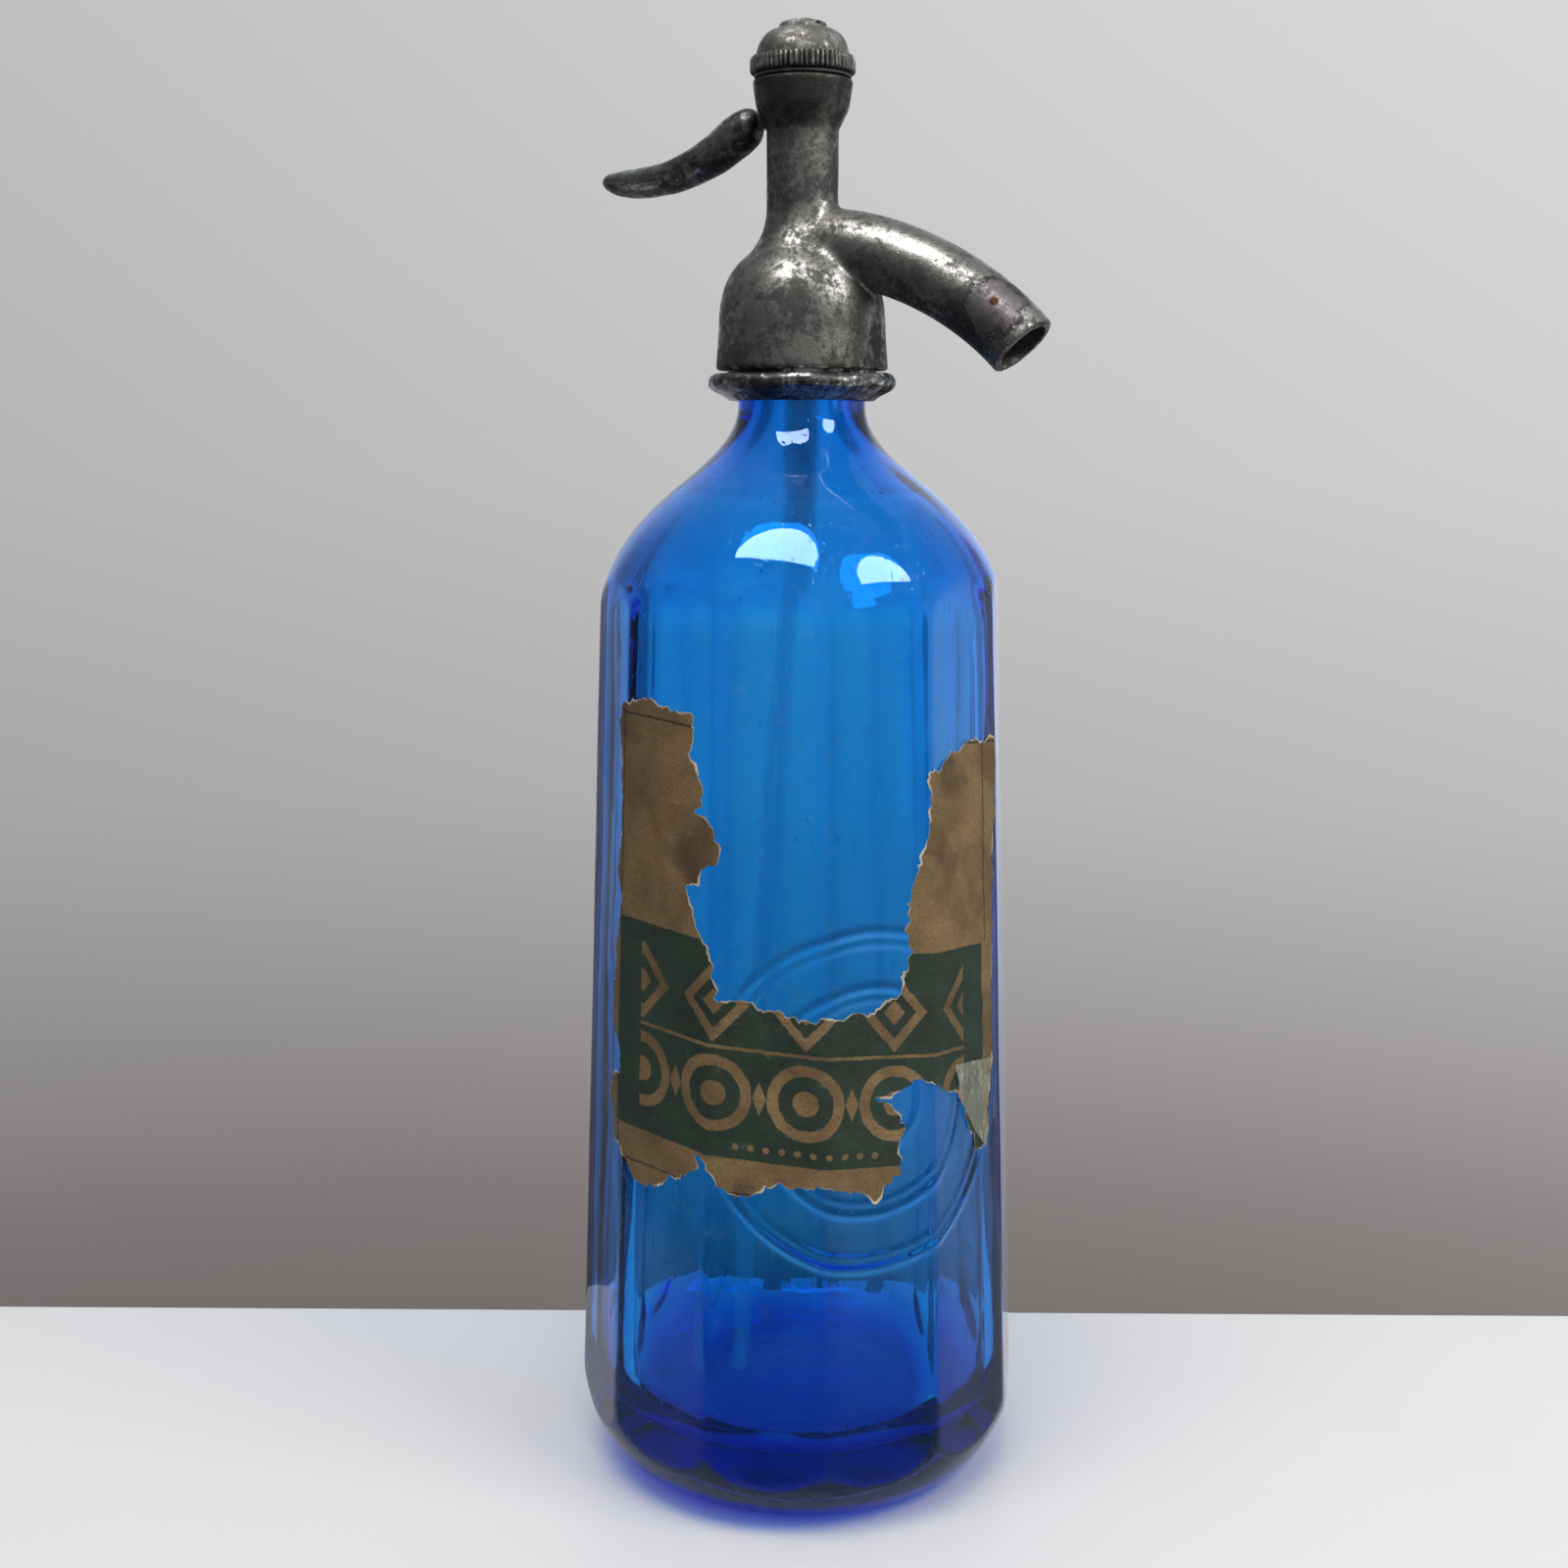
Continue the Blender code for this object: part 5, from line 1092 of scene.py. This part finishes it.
CREASES = (((0.27, 0.58), (0.48, 0.64), 0.00030), ((0.28, 0.70), (0.47, 0.56), 0.00035),
           ((0.30, 0.90), (0.45, 0.91), 0.00018), ((0.24, 0.62), (0.40, 0.80), 0.00016),
           ((-0.44, 0.30), (-0.30, 0.13), 0.00020), ((-0.31, 0.12), (-0.30, 0.27), 0.00024),
           ((-0.40, 0.70), (-0.26, 0.66), 0.00018), ((0.02, 0.10), (0.20, 0.25), 0.00016))


def even_out(values, rounds):
    """Averages each value with its neighbours round a closed line, again and again."""
    for _ in range(rounds):
        values = (np.roll(values, 1, axis=0) + values + np.roll(values, -1, axis=0)) / 3
    return values


def torn_outline(seed, shift):
    """The corners joined by ragged edges, in metres across and up, moved in or out by a ragged amount."""
    corners = np.array(LABEL_CORNERS) * (LABEL_WIDTH, LABEL_HEIGHT)
    spread = np.random.default_rng(7)
    points = []
    for one, other in zip(corners, np.roll(corners, -1, axis=0)):
        count = max(int(np.linalg.norm(other - one) / 0.00055), 2)
        cut = one[0] > 0.046 and other[0] > 0.046
        rough = 0.00010 if cut else 0.00034
        side = np.array([-(other - one)[1], (other - one)[0]]) / np.linalg.norm(other - one)
        wander = np.cumsum(spread.normal(0, rough, count))
        wander -= np.linspace(0, wander[-1], count)
        wander += spread.normal(0, rough * 0.35, count)
        wander[0] = 0
        for step in range(count):
            points.append(one + (other - one) * step / count + side * wander[step])
    points = np.array(points)
    smooth = even_out(points, 6)
    run = np.roll(smooth, -3, axis=0) - np.roll(smooth, 3, axis=0)
    out = np.stack([-run[:, 1], run[:, 0]], axis=1) / np.linalg.norm(run, axis=1)[:, None]
    width = even_out(np.random.default_rng(seed).normal(0, 1, len(points)), 5)
    width = np.clip(0.45 + 1.3 * width, 0.06, 1.5)
    return points + out * (shift * width)[:, None]


def crease_height(across, up):
    """Low folds in the paper, each a ridge between two points."""
    height = 0.0
    for (x1, y1), (x2, y2), rise in CREASES:
        run = np.array(((x2 - x1) * LABEL_WIDTH, (y2 - y1) * LABEL_HEIGHT))
        dx, dy = across - x1 * LABEL_WIDTH, up - y1 * LABEL_HEIGHT
        share = np.clip((dx * run[0] + dy * run[1]) / (run @ run), 0, 1)
        away = np.hypot(dx - share * run[0], dy - share * run[1])
        fade = np.sin(np.clip(share, 0.03, 0.97) * math.pi) ** 0.5
        height = height + 1.5 * rise * fade * np.exp(-(away / 0.0007) ** 2)
    return height


ragged = torn_outline(1, 0.0)
print("torn outline has", len(ragged), "points")

# %% Tear and paste the label
def wrap(across, up, lift):
    """Bends flat label coordinates round the bottle's body, at a lift above the glass."""
    angle = LABEL_TURN + across / WRAP_RADIUS
    height = LABEL_BASE + up - LABEL_FALL * across
    radius = facet_radius(angle, height) + 0.8 * roundel_relief(angle, height) + lift
    return np.stack([radius * np.cos(angle), radius * np.sin(angle), height], axis=1)


GRID_START, GRID_END, GRID_STEP = (-0.0535, -0.002), (0.0535, 0.103), 0.00155      # the same for both sheets


def paste_sheet(name, outline, lift, thickness, seed):
    pick()
    bpy.ops.mesh.primitive_circle_add(vertices=len(outline), radius=0.05, fill_type="NGON")
    sheet = name_new(name)
    move_points(sheet, np.column_stack([outline, np.zeros(len(outline))]))
    bpy.ops.object.mode_set(mode="EDIT")
    for axis in (0, 1):
        normal = Vector((1 - axis, axis, 0))
        for place in np.arange(GRID_START[axis] + GRID_STEP / 2, GRID_END[axis], GRID_STEP):
            bpy.ops.mesh.select_all(action="SELECT")
            bpy.ops.mesh.bisect(plane_co=normal * place, plane_no=normal)
    face_outwards()
    flat = points_of(sheet)
    paper = sheet.data.uv_layers[0]
    paper.name = "paper"
    for loop in sheet.data.loops:
        x, y = flat[loop.vertex_index, :2]
        paper.data[loop.index].uv = (x / LABEL_WIDTH + 0.5, y / LABEL_HEIGHT)
    from_edge = np.array([np.min(np.hypot(*(outline - point[:2]).T)) for point in flat])
    curl = np.clip(1 - from_edge / 0.0030, 0, 1) ** 2 * np.clip(ripple(flat[:, 0], flat[:, 1], seed, 0.016), 0, 1)
    raised = lift + 0.00034 * curl + crease_height(flat[:, 0], flat[:, 1])
    raised += 0.00008 * (1 + ripple(flat[:, 0], flat[:, 1], 17, 0.010))
    move_points(sheet, wrap(flat[:, 0], flat[:, 1], raised))
    facing = sum(face.normal.dot(face.center * Vector((1, 1, 0))) for face in sheet.data.polygons[:200])
    use_modifier(sheet, "SOLIDIFY", thickness=thickness, offset=1 if facing > 0 else -1)
    return sheet


core = paste_sheet("label_core", torn_outline(2, 0.00046), 0.00005, 0.00009, 13)
face = paste_sheet("label_face", ragged, 0.00024, 0.00005, 13)
print("label face spans", [round(value * 1000, 1) for value in face.dimensions], "mm")

# %% [markdown]
# The paper's print is drawn with the sheet's own flat coordinates, in millimetres across and up: a green
# band, thin dark rules inside the edges, and plain ornament, two rows of lozenges and rings, where the band
# needs something to carry. Fibres, stains and small losses of ink come from noise.

# %% Print the label
PERIOD = 19.0      # of the ornament, in millimetres


def mix_core():
    paper = Finish("paper_core", "UV")
    colour = paper.blend(paper.noise(18, 3).level(0.35, 0.7), tone(206, 194, 168), tone(158, 134, 100))
    paper.set(Base_Color=colour, Roughness=0.92, Normal=paper.bump(paper.noise(420, 4, 0.75), 0.00006, 0.9))
    return paper.material


def draw_marks(paper, x, y):
    """Lozenges above, rings with small lozenges between them below, a line and a row of dots."""
    aside = abs(paper.math("FLOORED_MODULO", x + PERIOD / 2, PERIOD) - PERIOD / 2)
    up_low = abs(y - 24.6)
    lozenge = aside / 7.4 + abs(y - 43.4) / 8.2
    ring = paper.length(aside, up_low)
    small = (PERIOD / 2 - aside) / 1.5 + up_low / 3.6
    dot = paper.length(abs(paper.math("FLOORED_MODULO", x, 3.2) - 1.6), y - 14.0)
    return x.within(-38.5, 38.0) * paper.most(
        lozenge.within(0.66, 1.0, 0.02), lozenge.level(0.30, 0.34, 1, 0), ring.within(5.6, 7.9),
        ring.level(2.5, 2.7, 1, 0), small.level(0.95, 1.0, 1, 0), y.within(33.9, 34.6, 0.08),
        dot.level(0.62, 0.75, 1, 0) * x.within(-16.5, 17.0))


def mix_print():
    paper = Finish("printed_paper", "UV")
    fibre = paper.noise(900, 4, 0.7, place=paper.stretched((1.0, 0.6, 1.0)))
    fine = paper.noise(160, 3, 0.6)
    wobble = paper.noise(60, 2).straight(0, 1, -0.25, 0.25)
    x = paper.math("MULTIPLY_ADD", paper.axis(0), LABEL_WIDTH * 1000, LABEL_WIDTH * -500) + wobble
    y = paper.axis(1) * (LABEL_HEIGHT * 1000) + wobble
    lost = paper.most(paper.noise(34, 5, 0.72).level(0.66, 0.70),
                      paper.cells(75).level(0.05, 0.09, 1, 0) * fine.level(0.5, 0.6))
    band = y.within(11.4, 55.4) * x.within(-45.6, 45.2)
    ink = band * (1 - draw_marks(paper, x, y)) * (1 - lost * 0.8)
    green = paper.blend(paper.noise(9, 3).level(0.3, 0.7), tone(10, 36, 27), tone(17, 50, 37))
    rules = paper.most(x.within(-44.95, -44.55, 0.08), x.within(46.3, 46.7, 0.08), y.within(97.3, 97.7, 0.08),
                       y.within(4.0, 4.4, 0.08)) * (1 - y.within(11.0, 55.8))
    blotch = paper.noise(7, 4, 0.6, 0.6).level(0.3, 0.72)
    colour = paper.coat(paper.blend(blotch, tone(132, 108, 70), tone(96, 74, 43)),
                        (fine.level(0.42, 0.7, 0, 0.55), tone(80, 60, 35)),
                        # Painted shade: the label's left part, which turns away from the lamps, is painted darker
                        # towards its left edge.
                        (paper.axis(0).level(0.02, 0.55, 0.42, 0), tone(52, 38, 22)),
                        (ink * 0.96, green), (rules * 0.85, tone(26, 22, 20)))
    stain = paper.noise(4.5, 3, 0.5, 1.0).level(0.52, 0.72, 0, 0.5)
    colour = paper.blend(stain, colour, tone(70, 52, 36), "MULTIPLY")
    rub = paper.noise(22, 5, 0.7).level(0.6, 0.8, 0, 0.18)
    folds = paper.bump(paper.noise(14, 4, 0.6), 0.0011, 0.8)
    paper.set(Base_Color=paper.blend(rub, colour, tone(170, 160, 140)), Specular_IOR_Level=0.35,
              Roughness=fibre.level(0.3, 0.7, 0.62, 0.80), Normal=paper.bump(fibre, 0.00003, 0.7, folds))
    return paper.material


settle(core, mix_core(), "kraft_paper", sharp=45)
settle(face, mix_print(), "kraft_paper", "label", sharp=45)

# %% [markdown]
# ## Strip of old tape
# A short strip of clear tape still holds the label's lower right corner. It is a plain grid, slightly
# crumpled, with scratched and yellowed plastic.

# %% Stick the tape
TAPE_CORNERS = (((0.356, 0.228), (0.340, 0.310)), ((0.442, 0.112), (0.474, 0.304)))      # left, right; low, high


def part_way(start, end, share):
    """Points part of the way from some points to others."""
    return np.array(start) * (1 - share[:, None]) + np.array(end) * share[:, None]


def stick_tape():
    pick()
    bpy.ops.mesh.primitive_grid_add(x_subdivisions=14, y_subdivisions=34, size=1)
    tape = name_new("clear_tape_strip")
    table = points_of(tape)
    s, t = table[:, 0] + 0.5, table[:, 1] + 0.5
    left, right = (part_way(low, high, t) for low, high in TAPE_CORNERS)
    place = part_way(left, right, s) * (LABEL_WIDTH, LABEL_HEIGHT)
    place[:, 0] += 0.0004 * ripple(place[:, 1], 0 * s, 4, 0.004) * (np.abs(s - 0.5) > 0.49)
    lift = 0.00062 + 0.00022 * ripple(place[:, 0], place[:, 1], 9, 0.006)
    move_points(tape, wrap(place[:, 0], place[:, 1], lift))
    use_modifier(tape, "SOLIDIFY", thickness=0.00006, offset=0)
    return tape


def mix_tape():
    tape = Finish("old_clear_tape")
    scuffs = tape.noise(700, 4, 0.7, place=tape.stretched((1, 1, 0.25))).level(0.5, 0.7)
    tape.set(Base_Color=tone(176, 178, 160), Roughness=scuffs.level(0, 1, 0.18, 0.5),
             Normal=tape.bump(tape.noise(500, 3), 0.00006, 0.8), Alpha=scuffs.level(0, 1, 0.22, 0.62))
    return tape.material


tape = stick_tape()
settle(tape, mix_tape(), "kraft_paper", sharp=60)

# %% [markdown]
# ## Dip tube and its sleeve
# A thin glass tube hangs from the valve and leans to the left in the bottle, with a grey rubber sleeve round
# its top. Both are rings swept along a straight line that runs into a gentle bend. Seen through two walls of
# blue glass, the tube is hardly more than a pale streak.

# %% Draw the dip tube and its sleeve
TUBE_TOP, NUT_FOOT, TUBE_LEAN = 0.2487, 0.2362, math.radians(4.6)
STRAIGHT, BEND = TUBE_TOP - NUT_FOOT + 0.0090, 0.0260


def tube_station(distance, radius):
    """Centre, direction and radius of the tube at a distance below its top."""
    bend_radius = BEND / TUBE_LEAN
    angle = min(max((distance - STRAIGHT) / bend_radius, 0), TUBE_LEAN)
    after = max(distance - STRAIGHT - BEND, 0)
    aside = bend_radius * (1 - math.cos(angle)) + after * math.sin(angle)
    down = min(distance, STRAIGHT) + bend_radius * math.sin(angle) + after * math.cos(angle)
    return Vector((aside, 0, TUBE_TOP - down)), Vector((math.sin(angle), 0, -math.cos(angle))), radius, radius


def draw_pipe(name, first, last, outer, bore, sides):
    """A pipe between two distances along the tube's route: a rod, and a longer thin rod that bores it."""
    spots = list(np.arange(first, last, 0.0022)) + [last]
    pipe = sweep_rings(name, [tube_station(spot, outer) for spot in spots], sides)
    spots[0], spots[-1] = first - 0.001, last + 0.001
    combine(pipe, sweep_rings("bore_tool", [tube_station(spot, bore) for spot in spots], sides), "DIFFERENCE")
    turn_about_axis(pipe, -208)
    return pipe


def mix_see_through(name, dark, light, shown):
    """A faint, milky skin: most of what is behind it shows through."""
    tube = Finish(name)
    lime = tube.noise(260, 4, 0.7, place=tube.stretched((1, 1, 0.3))).level(0.42, 0.75)
    tube.set(Base_Color=tube.blend(lime, dark, light), Roughness=lime.straight(0, 1, 0.2, 0.5),
             Normal=tube.bump(tube.noise(90, 2), 0.0002, 0.3), Alpha=lime.straight(0, 1, shown, shown + 0.12))
    return tube.material


tube = draw_pipe("glass_dip_tube", 0.0, (TUBE_TOP - 0.0175) / math.cos(TUBE_LEAN), 0.0030, 0.0020, 28)
settle(tube, mix_see_through("tube_glass", tone(200, 228, 236), tone(225, 240, 242), 0.15), "clear_tube",
       "dip_tube", sharp=40)
SLEEVE_START = TUBE_TOP - NUT_FOOT + 0.0003
sleeve = draw_pipe("rubber_sleeve", SLEEVE_START, SLEEVE_START + 0.0360, 0.0039, 0.0033, 32)
settle(sleeve, mix_see_through("sleeve_rubber", tone(120, 170, 170), tone(160, 195, 192), 0.11), "grey_sleeve",
       "tube_sleeve", sharp=40)

# %% [markdown]
# ## Small parts inside the head
# The valve, the pin, the nuts and the seals keep their CAD shape, since they are plain turned parts, and get
# worn finishes: dulled brass with fine turning rings, drawn steel and black rubber with a grey bloom.

# %% Finish the small parts
def mix_rubber(name, dark, light):
    rubber = Finish(name)
    bloom = rubber.noise(190, 4, 0.7).level(0.42, 0.72)
    rubber.set(Base_Color=rubber.blend(bloom, dark, light), Roughness=bloom.level(0, 1, 0.60, 0.85),
               Normal=rubber.bump(rubber.noise(1400, 3, 0.6), 0.00004, 0.7))
    return rubber.material


def mix_turned_metal(name, dark, light, stain_colour, shine):
    metal = Finish(name)
    stain = metal.noise(460, 4, 0.7).level(0.48, 0.70)
    rings = metal.noise(1800, 2, place=metal.stretched((0.2, 0.2, 1.0)))
    colour = metal.blend(metal.noise(150, 4, 0.6).level(0.35, 0.65), dark, light)
    metal.set(Base_Color=metal.blend(stain * 0.6, colour, stain_colour),
              Roughness=stain.straight(0, 1, shine, shine + 0.25) + rings.level(0.3, 0.7, -0.05, 0.05),
              Normal=metal.bump(rings, 0.00002, 0.8), Metallic=1.0)
    return metal.material


brass = mix_turned_metal("dull_brass", tone(150, 122, 72), tone(196, 168, 108), tone(92, 70, 42), 0.28)
steel = mix_turned_metal("drawn_steel", tone(138, 138, 136), tone(186, 186, 184), tone(96, 88, 80), 0.24)
black_rubber = mix_rubber("black_rubber", tone(26, 26, 27), tone(58, 58, 60))
SMALL_PARTS = {
    brass: ("plunger_rod", "spring_seat", "valve_disc", "valve_screw", "gland_nut", "valve_seat", "tube_nut"),
    steel: ("lever_pin",),
    black_rubber: ("lip_gasket", "valve_washer", "gland_packing", "tube_grommet", "cap_washer"),
}
for finish, names in SMALL_PARTS.items():
    for name in names:
        part = bpy.data.objects[name]
        part.data.materials.clear()
        part.data.materials.append(finish)
print("small parts finished:", sum(len(names) for names in SMALL_PARTS.values()))

# %% [markdown]
# ## Valve spring
# The spring gets shorter when the lever is pressed, so it is a piece of its own: a wire along a helix, close at
# both ends and open between them, with a round bevel, converted to a mesh. A screw modifier would wind it too,
# but with the same pitch all along.

# %% Wind the valve spring
COIL_RADIUS, WIRE_RADIUS, COIL_TURNS, CLOSED_PITCH = 0.0032, 0.0004, 6.5, 0.0010
COIL_FOOT, COIL_TOP, POCKET_TOP = 0.29436, 0.30386, 0.3043


def wind_spring():
    data = bpy.data.curves.new("spring_wire", "CURVE")
    data.dimensions = "3D"
    data.bevel_depth, data.bevel_resolution, data.use_fill_caps = WIRE_RADIUS, 2, True
    wire = data.splines.new("POLY")
    count = round(COIL_TURNS * 24)
    wire.points.add(count)
    open_turns = COIL_TURNS - 2
    open_rise = COIL_TOP - COIL_FOOT - 2 * CLOSED_PITCH
    for index, point in enumerate(wire.points):
        turns = index * COIL_TURNS / count
        in_open = min(max(turns - 1, 0), open_turns)
        rise = (turns - in_open) * CLOSED_PITCH + in_open * open_rise / open_turns
        angle = math.tau * turns
        point.co = (COIL_RADIUS * math.cos(angle), COIL_RADIUS * math.sin(angle), COIL_FOOT + rise, 1.0)
    coil = bpy.data.objects.new("coiled_valve_spring", data)
    bpy.context.scene.collection.objects.link(coil)
    pick(coil)
    bpy.ops.object.convert(target="MESH")
    coil = bpy.context.object
    bpy.ops.object.mode_set(mode="EDIT")
    face_outwards()
    return coil


coil = wind_spring()
settle(coil, steel, "steel", "valve_spring", sharp=50)
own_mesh(coil)
